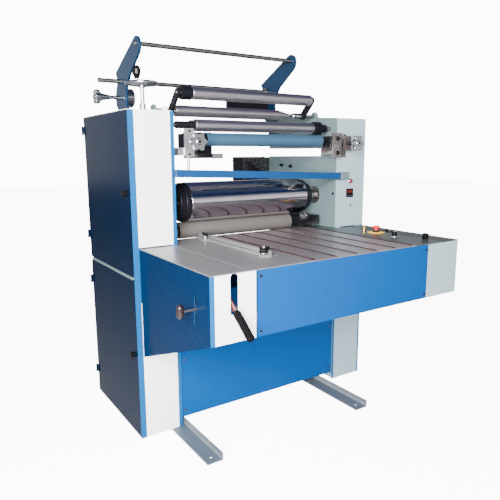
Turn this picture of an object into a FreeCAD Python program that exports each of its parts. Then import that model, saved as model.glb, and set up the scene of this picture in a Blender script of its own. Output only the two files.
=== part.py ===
"""Roll laminator with a heated chrome drum, built as a parametric FreeCAD document.

Frame: +X is the operator's right, +Y is to the rear, +Z is up, in millimetres.
The origin is on the floor, at the centre of the base tie between the two feet.
"""
import FreeCAD
import Part
import Sketcher
import math
import os

# ---------------------------------------------------------------- driving dimensions
DRIVING = {
    # cabinets
    "cabinet_outer": 676.0,      # half width over the two cabinets
    "cabinet_inner": 470.0,      # half width between the side plates
    "cabinet_depth": 620.0,
    "cabinet_top": 1460.0,
    "slot_low": 1262.0,          # see-through slot in the right-hand cabinet
    "slot_high": 1307.0,
    "slot_front": -179.0,
    "sheet": 2.0,                # folded sheet of the covers and panels
    "post_wide": 26.0,
    "post_slim": 17.0,
    "plate": 12.0,               # machined side plates and arms
    "foot_wide": 75.0,
    "foot_tall": 35.0,
    "foot_thick": 6.0,
    "foot_front": -650.0,
    "foot_rear": 400.0,
    # feed table
    "table_top": 880.0,
    "table_out": 614.0,          # how far the table stands out of the cabinets
    "table_left": 648.0,
    "table_nose": 630.0,         # lower edge of the table's front
    "table_root": 393.0,         # lower edge of the table's side at the cabinet
    "table_back": -168.0,        # rear edge of the table plates
    "plate_seam": -490.0,
    "belt_first": -185.0,        # first feed belt, then one each belt_pitch
    "belt_pitch": 111.0,
    "belt_width": 10.0,
    "belt_thick": 1.6,
    "belt_roller": 16.0,
    "control_left": 384.0,
    # laminating nip
    "drum_radius": 95.0,
    "drum_half": 345.0,
    "drum_y": -130.0,
    "drum_z": 1050.0,
    "pressure_radius": 40.0,
    "pressure_left": -385.0,
    "pressure_right": 285.0,
    "journal": 15.0,
    "cam_z": 720.8,
    "cam_offset": 25.0,          # from the cam shaft to the cams' own centre
    "cam_radius": 35.0,
    # pressure lever
    "lever_x": -552.0,
    "lever_y": -800.0,
    "lever_z": 846.0,
    "lever_angle": 37.5,         # below level, pressing
    "crank": 70.0,
    # film rollers
    "guide_y": -190.0,
    "guide_z": 1551.0,
    "film_y": -115.0,
    "film_z": 1476.0,
    "chrome_y": -250.0,
    "chrome_z": 1405.0,
    "blue_y": -300.0,
    "blue_z": 1341.0,
    # rear arms
    "tie_y": 85.0,
    "tie_z": 1797.0,
    "unwind_y": 315.0,
    "unwind_z": 1648.0,
    "tension_y": 330.0,
    "tension_z": 1568.0,
    # handwheels
    "wheel_x": -525.0,
    "wheel_y": -110.0,
    "wheel_z": 1585.0,
    "wheel_radius": 75.0,
    "star_left": -414.0,
    "star_right": 505.0,
    "star_y": -425.0,
    "star_z": 1328.0,
    # hairline gaps
    "running": 0.05,             # radial clearance of a shaft in its bearing
    "gap": 0.3,                  # between faces that move past each other
}

doc = FreeCAD.newDocument("roll_laminator")
sheet = doc.addObject("Spreadsheet::Sheet", "Dims")
for row, (alias, number) in enumerate(DRIVING.items(), start=1):
    sheet.set(f"A{row}", alias)
    sheet.set(f"B{row}", str(number))
    sheet.setAlias(f"B{row}", alias)
doc.recompute()


class Size:
    """A length known both as a number and as an expression on the sheet."""

    def __init__(self, value, text=None):
        self.value = float(value)
        self.text = text if text is not None else repr(float(value))

    def _with(self, other, sign, value):
        text = other.text if isinstance(other, Size) else repr(float(other))
        return Size(value, f"({self.text} {sign} {text})")

    def __add__(self, other):
        return self._with(other, "+", self.value + number_of(other))

    def __radd__(self, other):
        return Size(other) + self

    def __sub__(self, other):
        return self._with(other, "-", self.value - number_of(other))

    def __rsub__(self, other):
        return Size(other) - self

    def __mul__(self, other):
        return self._with(other, "*", self.value * number_of(other))

    def __rmul__(self, other):
        return self * other

    def __truediv__(self, other):
        return self._with(other, "/", self.value / number_of(other))

    def __neg__(self):
        return Size(-self.value, f"(0 - {self.text})")


def number_of(size):
    return size.value if isinstance(size, Size) else float(size)


def dim(alias):
    """The sheet's cell of that alias, as a Size."""
    return Size(DRIVING[alias], f"Dims.{alias}")


def bind(item, prop, size):
    """Set a property to a number, or bind it to the sheet."""
    if isinstance(size, Size):
        item.setExpression(prop, size.text)
    else:
        setattr(item, prop, size)


def place(item, x, y, z, axis=(0, 0, 1), angle=0.0):
    """Put an item at a point that may be bound to the sheet."""
    base = FreeCAD.Vector(number_of(x), number_of(y), number_of(z))
    turn = FreeCAD.Rotation(FreeCAD.Vector(*axis), angle)
    item.Placement = FreeCAD.Placement(base, turn)
    for letter, size in (("x", x), ("y", y), ("z", z)):
        if isinstance(size, Size):
            item.setExpression(f"Placement.Base.{letter}", size.text)
    return item


# ---------------------------------------------------------------- building blocks
AXES = {"X": ((0, 1, 0), 90.0), "Y": ((1, 0, 0), -90.0), "Z": ((0, 0, 1), 0.0)}
counter = {"made": 0}


def fresh(kind):
    counter["made"] += 1
    return doc.addObject(kind, f"step{counter['made']:03d}")


def block(x0, x1, y0, y1, z0, z1):
    """A box between three pairs of bounds."""
    item = fresh("Part::Box")
    bind(item, "Length", x1 - x0)
    bind(item, "Width", y1 - y0)
    bind(item, "Height", z1 - z0)
    return place(item, x0, y0, z0)


def rod(along, start, length, radius, u, v):
    """A cylinder along an axis. u and v are its other two coordinates, in X, Y, Z order."""
    item = fresh("Part::Cylinder")
    bind(item, "Radius", radius)
    bind(item, "Height", length)
    x, y, z = {"X": (start, u, v), "Y": (u, start, v), "Z": (u, v, start)}[along]
    axis, angle = AXES[along]
    return place(item, x, y, z, axis, angle)


def cone(along, start, length, radius_a, radius_b, u, v):
    item = fresh("Part::Cone")
    bind(item, "Radius1", radius_a)
    bind(item, "Radius2", radius_b)
    bind(item, "Height", length)
    x, y, z = {"X": (start, u, v), "Y": (u, start, v), "Z": (u, v, start)}[along]
    axis, angle = AXES[along]
    return place(item, x, y, z, axis, angle)


def ball(radius, x, y, z):
    item = fresh("Part::Sphere")
    bind(item, "Radius", radius)
    return place(item, x, y, z)


def ring(radius, thick, x, y, z, along="Z"):
    item = fresh("Part::Torus")
    bind(item, "Radius1", radius)
    bind(item, "Radius2", thick)
    axis, angle = AXES[along]
    return place(item, x, y, z, axis, angle)


def fuse(*items):
    if len(items) == 1:
        return items[0]
    joined = fresh("Part::MultiFuse")
    joined.Shapes = list(items)
    joined.Refine = True
    return joined


def cut(base, *tools):
    result = fresh("Part::Cut")
    result.Base = base
    result.Tool = fuse(*tools)
    result.Refine = True
    return result


def group(*items):
    """Separate solids kept in one sub-part."""
    bundle = fresh("Part::Compound")
    bundle.Links = list(items)
    return bundle


def turned(along, start, steps, u, v):
    """A stepped round bar: steps are (length, radius) or (length, radius, end radius)."""
    pieces = []
    at = start
    for step in steps:
        length, radius = step[0], step[1]
        if len(step) == 2:
            pieces.append(rod(along, at, length, radius, u, v))
        else:
            pieces.append(cone(along, at, length, radius, step[2], u, v))
        at = at + length
    return fuse(*pieces)


def outline_body(plane, corners, start, thick, round_edge=None):
    """A plate padded from a sketch whose corners are bound to the sheet.

    plane is "YZ" or "XY" and corners are points in it, in order round the outline.
    round_edge is (edge number, u, v): that edge is an arc through (u, v).
    """
    counter["made"] += 1
    tag = f"{counter['made']:03d}"
    body = doc.addObject("PartDesign::Body", f"body{tag}")
    sketch = body.newObject("Sketcher::SketchObject", f"outline{tag}")
    role = f"{plane}_Plane"
    base = next(item for item in body.Origin.OriginFeatures if item.Role == role)
    sketch.AttachmentSupport = [(base, "")]
    sketch.MapMode = "FlatFace"
    flat = [FreeCAD.Vector(number_of(u), number_of(v), 0) for u, v in corners]
    count = len(flat)
    for index in range(count):
        first, second = flat[index], flat[(index + 1) % count]
        if round_edge is not None and index == round_edge[0]:
            middle = FreeCAD.Vector(round_edge[1], round_edge[2], 0)
            sketch.addGeometry(Part.Arc(first, middle, second), False)
        else:
            sketch.addGeometry(Part.LineSegment(first, second), False)
    if round_edge is None:
        for index in range(count):
            joint = Sketcher.Constraint("Coincident", index, 2, (index + 1) % count, 1)
            sketch.addConstraint(joint)
        for index, corner in enumerate(corners):
            for kind, size in zip(("DistanceX", "DistanceY"), corner):
                rule = Sketcher.Constraint(kind, -1, 1, index, 1, number_of(size))
                at = sketch.addConstraint(rule)
                if isinstance(size, Size):
                    sketch.setExpression(f"Constraints[{at}]", size.text)
    pad = body.newObject("PartDesign::Pad", f"pad{tag}")
    pad.Profile = sketch
    bind(pad, "Length", thick)
    x, y, z = (start, 0, 0) if plane == "YZ" else (0, 0, start)
    return place(body, x, y, z)


sub_parts = []


def node(name, item):
    """Name a finished sub-part: the label becomes its file."""
    item.Label = name
    sub_parts.append(item)
    return item


# ---------------------------------------------------------------- shared levels and planes
outer = dim("cabinet_outer")
inner = dim("cabinet_inner")
front = -dim("cabinet_depth") / 2
rear = dim("cabinet_depth") / 2
top = dim("cabinet_top")
skin = dim("sheet")
wide = dim("post_wide")
slim = dim("post_slim")
plate = dim("plate")
sole = dim("foot_thick")
gap = dim("gap")
running = dim("running")
table_top = dim("table_top")
table_front = front - dim("table_out")
table_left = -dim("table_left")
table_under = table_top - 4
nose = dim("table_nose")
root = dim("table_root")
slot_low = dim("slot_low")
slot_high = dim("slot_high")
slot_front = dim("slot_front")
frame_front = front + 3          # front face of the tubes, behind the front panels
frame_rear = rear - 3
tube = 26.0
door_depth = 12.0
seam = 741.0                     # ledge between the two left-hand doors
tube_out = outer - 14            # outer face of the frame tubes


# ---------------------------------------------------------------- base
def foot(x0, x1, flange_x0, flange_x1):
    """An angle iron lying on the floor, with two anchor holes."""
    y0, y1 = dim("foot_front"), dim("foot_rear")
    sole_leg = block(x0, x1, y0, y1, 0, sole)
    flange = block(flange_x0, flange_x1, y0, y1, 0, dim("foot_tall"))
    middle = (x0 + x1) / 2
    anchors = [rod("Z", -1, sole + 2, 7.0, middle, y) for y in (y0 + 40, y1 - 40)]
    return cut(fuse(sole_leg, flange), *anchors)


left_foot_x = Size(-523.0)
right_foot_x = Size(328.0)
foot_wide = dim("foot_wide")
left_foot = foot(left_foot_x, left_foot_x + foot_wide,
                 left_foot_x + foot_wide - sole, left_foot_x + foot_wide)
right_foot = foot(right_foot_x, right_foot_x + foot_wide,
                  right_foot_x + foot_wide - sole, right_foot_x + foot_wide)
tie = cut(block(left_foot_x + foot_wide, right_foot_x, -20.0, 20.0, 0, 25.0),
          block(left_foot_x + foot_wide, right_foot_x, -17.0, 17.0, 3.0, 22.0))
node("base_feet", group(left_foot, right_foot, tie))


# ---------------------------------------------------------------- cabinet frames
def post(x0, y0, z0, z1):
    """One square tube, standing."""
    return cut(block(x0, x0 + tube, y0, y0 + tube, z0, z1),
               block(x0 + 2, x0 + tube - 2, y0 + 2, y0 + tube - 2, z0 - 1, z1 + 1))


def rails(x0, x1, y0, y1, z0):
    """A level rectangle of flat bars between four posts."""
    z1 = z0 + tube
    return [
        block(x0 + tube, x1 - tube, y0, y0 + 6, z0, z1),
        block(x0 + tube, x1 - tube, y1 - 6, y1, z0, z1),
        block(x0, x0 + 6, y0 + tube, y1 - tube, z0, z1),
        block(x1 - 6, x1, y0 + tube, y1 - tube, z0, z1),
    ]


def hinge_pin(z):
    """A lug on the rear post with an upright pin for a door's knuckle."""
    lug = block(-outer - 10, -tube_out + 6, rear - 9, rear + 1, z - 6, z)
    return fuse(lug, rod("Z", z, 36.0, 2.5, -outer - 5, rear - 4))


left_x0, left_x1 = -tube_out, -inner - plate
left_posts = [post(x, y, sole, top - 3)
              for x in (left_x0, left_x1 - tube) for y in (frame_front, frame_rear - tube)]
left_strips = [
    block(-outer, -outer + wide, front, frame_front, sole, top - 3),
    block(-inner - slim, -inner, front, frame_front, sole, top - 3),
]
ledge = block(-outer, left_x0 + 6, frame_front + tube, frame_rear - tube, seam, seam + 12)
door_pins = [hinge_pin(z) for z in (120.0, 620.0, 860.0, 1380.0)]
left_rails = rails(left_x0, left_x1, frame_front, frame_rear, sole)
left_rails += rails(left_x0, left_x1, frame_front, frame_rear, top - 3 - tube)
node("left_frame", fuse(*left_posts, *left_strips, *left_rails, ledge, *door_pins))

right_x0, right_x1 = inner + plate, tube_out
right_parts = []
for x in (right_x0, right_x1 - tube):
    right_parts.append(post(x, frame_front, sole, top - 3))
    right_parts.append(post(x, frame_rear - tube, sole, slot_low - 2))
    right_parts.append(post(x, frame_rear - tube, slot_high + 2, top - 3))
for z in (sole, slot_low - 2 - tube, slot_high + 2, top - 3 - tube):
    right_parts += rails(right_x0, right_x1, frame_front, frame_rear, z)
right_parts.append(block(inner, inner + plate, front, frame_front, sole, 640.0))
right_parts.append(block(outer - 11, outer, front, frame_front, sole, 640.0))
right_parts.append(block(right_x1, outer - 2, frame_front, frame_front + 20, sole, 640.0))
node("right_frame", fuse(*right_parts))


# ---------------------------------------------------------------- side plates
drum_y, drum_z = dim("drum_y"), dim("drum_z")
cam_z = dim("cam_z")
housing = 45.0
roller_holes = [
    (dim("film_y"), dim("film_z"), 9.0),
    (dim("chrome_y"), dim("chrome_z"), 10.0),
    (drum_y, cam_z, 12.0),
]


def side_plate(start, with_slot):
    """A machined plate that carries the roller bearings. Its top rises to the rear."""
    corners = [(front + 3, 40.0), (rear - 3, 40.0), (rear - 3, top + 40), (front + 3, top)]
    ear = rod("X", start, plate, 25.0, dim("film_y"), dim("film_z"))
    whole = fuse(outline_body("YZ", corners, start, plate), ear)
    tools = [rod("X", start - 1, plate + 2, housing, drum_y, drum_z)]
    for y, z, radius in roller_holes:
        tools.append(rod("X", start - 1, plate + 2, radius + running, y, z))
    if with_slot:
        tools.append(block(start - 1, start + plate + 1, slot_front, rear + 1,
                           slot_low, slot_high))
    return cut(whole, *tools)


node("side_plates", group(side_plate(-inner - plate, False), side_plate(inner, True)))


def bearing(start):
    """A flanged bearing housing pressed into a side plate."""
    body = rod("X", start, plate, housing, drum_y, drum_z)
    bore = rod("X", start - 1, plate + 2, 25 + running, drum_y, drum_z)
    return cut(body, bore)


node("drum_bearings", group(bearing(-inner - plate), bearing(inner)))


# ---------------------------------------------------------------- panels and covers
panel_z0 = sole + 2
panel_y = frame_front - skin
upper_left_panel = block(-outer + wide, -inner - slim, panel_y, frame_front,
                         table_top + 4, top - 3)
lower_left_panel = block(-outer + wide, -inner - slim, panel_y, frame_front, panel_z0, 640.0)

upper_right_panel = block(inner, outer, panel_y, frame_front, table_top + 4, top)
upper_right_panel = cut(upper_right_panel,
                        rod("Y", front - 1, skin + 2, 11.2, 572.0, 1129.0),
                        block(544.8, 589.2, front - 1, front + skin + 1, 1042.8, 1087.2),
                        rod("Y", front - 1, skin + 2, 6.2, 575.0, 1001.0))
lower_right_panel = block(inner + plate, outer - 11, panel_y, frame_front, panel_z0, 640.0)

kick_z = 47.0
kick_y = front + 8
front_kick = fuse(block(-inner, inner, kick_y, kick_y + skin, kick_z, 640.0),
                  block(-inner, inner, kick_y, kick_y + 16, kick_z, kick_z + skin))
rear_kick = fuse(block(-inner, inner, rear - 12, rear - 10, kick_z, 700.0),
                 block(-inner, inner, rear - 26, rear - 10, kick_z, kick_z + skin))

wheel_x, wheel_y = dim("wheel_x"), dim("wheel_y")
left_lid = cut(block(-outer, -inner - plate, front + 3, rear, top - 3, top),
               rod("Z", top - 4, 5.0, 9 + running, wheel_x, wheel_y))
left_boss = cut(rod("Z", top, 10.0, 22.0, wheel_x, wheel_y),
                rod("Z", top - 1, 12.0, 9 + running, wheel_x, wheel_y))
left_back = block(left_x0 + 6, -inner - plate, rear - 3, rear, panel_z0, top - 3)
right_lid = block(inner + plate, outer, front + 3, rear, top - 3, top)
right_floor = block(inner + plate, outer - 2, slot_front, rear, slot_high, slot_high + skin)
right_cap = block(inner + plate, outer - 2, slot_front, rear, slot_low - 2, slot_low)
right_throat = block(inner + plate, outer - 2, slot_front - 2, slot_front,
                     slot_low - 2, slot_high + skin)
right_back = [block(inner + plate, outer - 2, rear - 3, rear, panel_z0, slot_low - 2),
              block(inner + plate, outer - 2, rear - 3, rear, slot_high + skin, top - 3)]
right_side = cut(block(outer - 2, outer, front + 3, rear, panel_z0, top - 3),
                 block(outer - 3, outer + 1, slot_front, rear + 1, slot_low, slot_high))
node("cabinet_covers", group(fuse(left_lid, left_boss), left_back, right_lid, right_floor,
                             fuse(right_cap, right_throat), *right_back, right_side))


# ---------------------------------------------------------------- left-hand doors
def door(z0, z1, latch_y, latch_z, knuckles):
    """A folded tray with hinge knuckles at its rear edge."""
    x0, x1 = -outer, -outer + door_depth - gap
    y0, y1 = front + 3 + gap, rear - 10
    tray = cut(block(x0, x1, y0, y1, z0, z1),
               block(x0 + skin, x1 + 1, y0 + skin, y1 - skin, z0 + skin, z1 - skin),
               rod("X", x0 - 1, 5.0, 5 + running, latch_y, latch_z))
    hinges = []
    for z in knuckles:
        low = z + gap
        barrel = cut(fuse(rod("Z", low, 34.0, 5.0, -outer - 5, rear - 4),
                          block(x0 - 4, x0, y1 - 20, rear - 4, low, low + 34)),
                     rod("Z", low - 1, 36.0, 2.5 + running, -outer - 5, rear - 4))
        hinges.append(barrel)
    return fuse(tray, *hinges)


def latch(y, z):
    """A quarter-turn latch: knob, shaft and tongue."""
    shaft = rod("X", -outer - 3, 10.0, 5.0, y, z)
    knob = rod("X", -outer - 13, 12.5, 11.0, y, z)
    grip = block(-outer - 21, -outer - 12, y - 4, y + 4, z - 15, z + 15)
    tongue = block(-outer + 3, -outer + 6, y - 8, y + 8, z - 12, z + 12)
    return fuse(shaft, knob, grip, tongue)


upper_latch = (-263.0, 1115.0)
lower_latch = (-270.0, 399.0)
node("left_upper_door", door(seam + 15, top - 4, *upper_latch, (860.0, 1380.0)))
node("left_lower_door", door(sole + 4, seam - 3, *lower_latch, (120.0, 620.0)))
node("upper_door_latch", latch(*upper_latch))
node("lower_door_latch", latch(*lower_latch))


# ---------------------------------------------------------------- round bars and flat links
def link_bar(start, thick, y0, z0, y1, z1, radius, bore0=None, bore1=None):
    """A flat bar with round ends, standing in a YZ plane, bored at its ends."""
    reach = math.hypot(y1 - y0, z1 - z0)
    strip = fresh("Part::Box")
    bind(strip, "Length", thick)
    bind(strip, "Width", reach)
    bind(strip, "Height", 2.0 * radius)
    tilt = math.degrees(math.atan2(z1 - z0, y1 - y0))
    turn = FreeCAD.Rotation(FreeCAD.Vector(1, 0, 0), tilt)
    corner = FreeCAD.Vector(0, y0, z0) + turn.multVec(FreeCAD.Vector(0, 0, -radius))
    strip.Placement = FreeCAD.Placement(corner, turn)
    if isinstance(start, Size):
        strip.setExpression("Placement.Base.x", start.text)
    else:
        strip.Placement.Base.x = start
    bar = fuse(strip, rod("X", start, thick, radius, y0, z0), rod("X", start, thick, radius, y1, z1))
    bores = []
    for bore, y, z in ((bore0, y0, z0), (bore1, y1, z1)):
        if bore is not None:
            bores.append(rod("X", start - 1, thick + 2, bore, y, z))
    return cut(bar, *bores) if bores else bar


# ---------------------------------------------------------------- crossbar
bar_left = block(-inner - 8, inner + 4, front - 30, front - 2, 1178.5, 1211.5)
place(bar_left, -inner - 8, front - 30, 1179.0, (0, 1, 0), 2.15)
left_pad = block(-inner - 15, -inner - 2, front - 2, front, 1180.0, 1208.0)
right_pad = block(inner, inner + 90, front - 5, panel_y, 1136.0, 1178.0)
right_boss = block(inner, inner + 36, front - 26, front - 5, 1142.0, 1172.0)
node("crossbar", group(fuse(bar_left, left_pad), fuse(right_pad, right_boss)))


# ---------------------------------------------------------------- drum, shaft and motor
drum_r = dim("drum_radius")
drum_half = dim("drum_half")
drum_tube = cut(rod("X", -drum_half, 2 * drum_half, drum_r, drum_y, drum_z),
                rod("X", -drum_half - 1, 2 * drum_half + 2, drum_r - 9, drum_y, drum_z))
drum_ends = [cut(rod("X", x, 14.0, drum_r - 9, drum_y, drum_z),
                 rod("X", x - 1, 16.0, 25.0, drum_y, drum_z))
             for x in (-drum_half + 4, drum_half - 18)]
node("heated_drum", fuse(drum_tube, *drum_ends))

shaft_parts = [
    rod("X", -560.0, 1105.0, 25.0, drum_y, drum_z),
    rod("X", -drum_half - 55, 55.0, drum_r - 1, drum_y, drum_z),
    rod("X", drum_half, 27.0, drum_r - 7, drum_y, drum_z),
    rod("X", drum_half + 27, 28.0, drum_r - 19, drum_y, drum_z),
    cut(rod("X", -540.0, 15.0, 90.0, drum_y, drum_z),
        *[rod("X", -541.0, 17.0, 14.0, drum_y + 58 * math.cos(math.radians(a)),
              drum_z + 58 * math.sin(math.radians(a))) for a in range(0, 360, 60)]),
]
node("drum_shaft", fuse(*shaft_parts))

gearbox = block(-600.0, -500.0, -90.0, 10.0, 790.0, 900.0)
motor_body = rod("Y", 10.0, 190.0, 52.0, -550.0, 845.0)
motor_foot = block(-500.0, -inner - plate, -90.0, 10.0, 800.0, 890.0)
motor_hub = rod("X", -540.0, 40.0, 34.0, -40.0, 920.0)
node("drive_motor", fuse(gearbox, motor_body, motor_foot, motor_hub))


# ---------------------------------------------------------------- pressure roller and yoke
pressure_r = dim("pressure_radius")
pressure_z = drum_z - drum_r - gap - pressure_r
pressure_left, pressure_right = dim("pressure_left"), dim("pressure_right")
journal = dim("journal")
node("pressure_roller", fuse(
    rod("X", pressure_left, pressure_right - pressure_left, pressure_r, drum_y, pressure_z),
    rod("X", -428.0, 828.0, journal, drum_y, pressure_z)))

beam = block(-440.0, 440.0, -160.0, -100.0, 780.0, 820.0)
left_upright = block(-430.0, -400.0, -150.0, -110.0, 820.0, 884.0)
right_upright = block(400.0, 430.0, -150.0, -110.0, 820.0, 884.0)
left_jaw = block(-430.0, pressure_left - 7, -160.0, -100.0, 884.0, 946.0)
right_jaw = fuse(block(pressure_right + 9, 430.0, -164.0, -100.0, 884.0, 946.0),
                 block(pressure_right + 9, 430.0, -222.0, -164.0, 895.0, 946.0),
                 block(pressure_right + 9, pressure_right + 60, -226.0, -210.0, 930.0, 968.0))
yoke = cut(fuse(beam, left_upright, right_upright, left_jaw, right_jaw),
           rod("X", -441.0, 882.0, journal + running, drum_y, pressure_z))
node("pressure_yoke", yoke)


# ---------------------------------------------------------------- cams, link and lever
cam_r = dim("cam_radius")
cam_offset = dim("cam_offset")
cam_y = drum_y + cam_offset * math.sin(math.radians(23.0))
cam_top = cam_z + cam_offset * math.cos(math.radians(23.0))
lever_x, lever_y, lever_z = dim("lever_x"), dim("lever_y"), dim("lever_z")


def crank_arm(y, z):
    """An arm hanging from a shaft with a pin for the link."""
    arm = link_bar(-586.0, 8.0, y, z, y, z - DRIVING["crank"], 13.0)
    pin = rod("X", -598.0, 13.0, 5.0, y, z - DRIVING["crank"])
    return fuse(arm, pin)


node("cam_shaft", fuse(
    rod("X", -586.0, 586.0 + 482.0, 12.0, drum_y, cam_z),
    rod("X", -425.0, 30.0, cam_r, cam_y, cam_top),
    rod("X", 395.0, 30.0, cam_r, cam_y, cam_top),
    crank_arm(DRIVING["drum_y"], DRIVING["cam_z"])))

node("pressure_link", link_bar(-596.0, 9.0,
                               DRIVING["lever_y"], DRIVING["lever_z"] - DRIVING["crank"],
                               DRIVING["drum_y"], DRIVING["cam_z"] - DRIVING["crank"],
                               11.0, 5.05, 5.05))


def along_lever(start, length, radius, end_radius=None):
    """A round piece on the lever's axis, start being measured from the pivot."""
    item = fresh("Part::Cone" if end_radius is not None else "Part::Cylinder")
    if end_radius is not None:
        bind(item, "Radius1", radius)
        bind(item, "Radius2", end_radius)
    else:
        bind(item, "Radius", radius)
    bind(item, "Height", length)
    slope = math.radians(DRIVING["lever_angle"])
    y = DRIVING["lever_y"] - start * math.cos(slope)
    z = DRIVING["lever_z"] - start * math.sin(slope)
    return place(item, DRIVING["lever_x"], y, z, (1, 0, 0), 90.0 + DRIVING["lever_angle"])


node("pressure_lever", fuse(
    rod("X", -612.0, 100.0, 8.0, lever_y, lever_z),
    rod("X", lever_x - 16, 32.0, 16.0, lever_y, lever_z),
    along_lever(0.0, 270.0, 9.0),
    crank_arm(DRIVING["lever_y"], DRIVING["lever_z"])))
grip_end = 291.0 - 14.0
node("lever_grip", cut(
    fuse(along_lever(166.0, grip_end - 166.0, 14.0),
         along_lever(grip_end, 9.0, 14.0, 11.0),
         along_lever(grip_end + 9, 5.0, 11.0, 5.0)),
    along_lever(160.0, 110.0, 9.0)))


# ---------------------------------------------------------------- feed table
def table_bar(x):
    """One fore-and-aft bar with its front upright."""
    return fuse(block(x, x + 20, table_front + 4, front, 850.0, table_under),
                block(x, x + 20, table_front + 4, table_front + 24, nose + 4, 850.0),
                block(x, x + 20, front - 20, front, 838.0, 850.0))


def lever_bracket(x):
    """A bearing plate for the lever's shaft, hanging from a cross bar."""
    hanger = block(x, x + 8, lever_y - 20, lever_y + 20, lever_z - 20, table_under)
    return cut(hanger, rod("X", x - 1, 10.0, 8 + running, lever_y, lever_z))


table_parts = [table_bar(x) for x in (table_left + 4, Size(-500.0), Size(400.0), outer - 36)]
table_parts.append(block(table_left + 4, outer - 16, table_front + 4, table_front + 24,
                         nose + 60, nose + 86))
table_parts.append(block(table_left + 4, outer - 16, front - 20, front, 810.0, 838.0))
table_parts.append(block(table_left + 24, -500.0, lever_y - 20, lever_y + 20, 864.0, table_under))
table_parts.append(lever_bracket(Size(-612.0)))
table_parts.append(lever_bracket(Size(-520.0)))
for y in (-830.0, -807.5):
    table_parts.append(block(table_left + 2, table_left + 16, y, y + 7.5, 664.0, 798.0))
table_parts.append(block(table_left + 2, table_left + 16, -830.0, -800.0, 798.0, 850.0))
belt_r = dim("belt_roller")
front_roller_y = table_front + 24
rear_roller_y = dim("table_back") - 18
roller_z = table_top - belt_r
for y in (front_roller_y, rear_roller_y):
    for x in (Size(-214.0), Size(392.0)):
        cheek = block(x, x + 8, y - 10, y + 10, roller_z - 12, table_under)
        table_parts.append(cut(cheek, rod("X", x - 1, 10.0, 6 + running, y, roller_z)))
for x in (-214.0, 392.0):
    table_parts.append(block(x, x + 8, front_roller_y - 10, rear_roller_y + 10, 838.0, 852.0))
node("table_frame", fuse(*table_parts))

thumb_slots = [block(-345.0, -253.0, y - 4.2, y + 4.2, table_under - 1, table_top + 1)
               for y in (-760.0, -285.0)]
back = dim("table_back")
seam_x = dim("plate_seam")
belt_first = dim("belt_first")
plate_edge = belt_first - 20
outer_plate = block(table_left, seam_x - 0.4, table_front, front, table_under, table_top)
inner_plate = cut(fuse(block(seam_x + 0.4, -inner, table_front, front - 0.4, table_under, table_top),
                       block(-inner, plate_edge, table_front, back, table_under, table_top)),
                  *thumb_slots)
node("table_left_plates", group(outer_plate, inner_plate))

control_left = dim("control_left")
belts_x = [belt_first + index * dim("belt_pitch") for index in range(6)]
belt_half = dim("belt_width") / 2
windows = []
for x in belts_x:
    windows.append(block(x - belt_half - 2, x + belt_half + 2, table_front + 7, table_front + 46,
                         table_under - 1, table_top + 1))
    windows.append(block(x - belt_half - 2, x + belt_half + 2, back - 38, back + 1,
                         table_under - 1, table_top + 1))
node("table_centre_plate", cut(block(plate_edge + 0.4, control_left - 0.4, table_front, back,
                                     table_under, table_top), *windows))

panel_holes = [
    rod("Z", table_under - 1, 6.0, 9.0, 515.0, -564.0),
    rod("Z", table_under - 1, 6.0, 5.0, 495.0, -700.0),
    rod("Z", table_under - 1, 6.0, 7.0, 560.0, -830.0),
    block(598.0, 622.0, -577.0, -545.0, table_under - 1, table_top + 1),
]
node("control_plate", cut(fuse(block(control_left, outer, table_front, front - 0.4,
                                     table_under, table_top),
                               block(control_left, inner, front - 1, back, table_under, table_top)),
                          *panel_holes))

face = table_front + skin
lever_slot = fuse(block(lever_x - 16, lever_x + 15, table_front - 1, face + 1, 732.0, 862.5),
                  rod("Y", table_front - 1, skin + 2, 15.5, lever_x - 0.5, 862.5))
corner_strip = block(table_left, table_left + 18, table_front, face + 1, nose, table_under)
left_face = cut(block(table_left + 18, -462.0, table_front, face, nose, table_under), lever_slot)
blue_face = block(-456.0, 466.0, table_front, face, nose, table_under)
right_face = block(466.0, outer, table_front, face, nose, table_under)
node("white_panels", group(upper_left_panel, lower_left_panel, upper_right_panel,
                           lower_right_panel, left_face, right_face))
node("blue_panels", group(front_kick, rear_kick, blue_face))


def table_side(x, flange_x):
    """A tapered side sheet with a flange along its sloping lower edge."""
    corners = [(face + 1, nose), (front, root), (front, table_under),
               (face + 1, table_under)]
    lip = [(face + 1, nose), (front, root), (front, root + 3),
           (face + 1, nose + 3)]
    return fuse(outline_body("YZ", corners, x, skin), outline_body("YZ", lip, flange_x, 14.0))


node("table_side_panels", group(
    corner_strip,
    cut(table_side(table_left, table_left), block(table_left - 1, table_left + 3,
                                                  -821.0, -809.0, 680.0, 782.0)),
    table_side(outer - 2, outer - 14)))


# ---------------------------------------------------------------- feed belts and their rollers
def obround(x0, width, radius):
    """A loop's outline round both belt rollers, as a solid."""
    return fuse(rod("X", x0, width, radius, front_roller_y, roller_z),
                rod("X", x0, width, radius, rear_roller_y, roller_z),
                block(x0, x0 + width, front_roller_y, rear_roller_y,
                      roller_z - radius, roller_z + radius))


belt_inner = belt_r + gap
belts = [cut(obround(x - belt_half, 2 * belt_half, belt_inner + dim("belt_thick")),
             obround(x - belt_half - 1, 2 * belt_half + 2, belt_inner)) for x in belts_x]
node("feed_belts", group(*belts))
for name, y in (("belt_front_roller", front_roller_y), ("belt_rear_roller", rear_roller_y)):
    pulleys = [rod("X", x - belt_half, 2 * belt_half, belt_r, y, roller_z) for x in belts_x]
    node(name, fuse(rod("X", -205.0, 596.0, belt_r - 5, y, roller_z),
                    rod("X", -214.0, 614.0, 6.0, y, roller_z), *pulleys))


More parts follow.
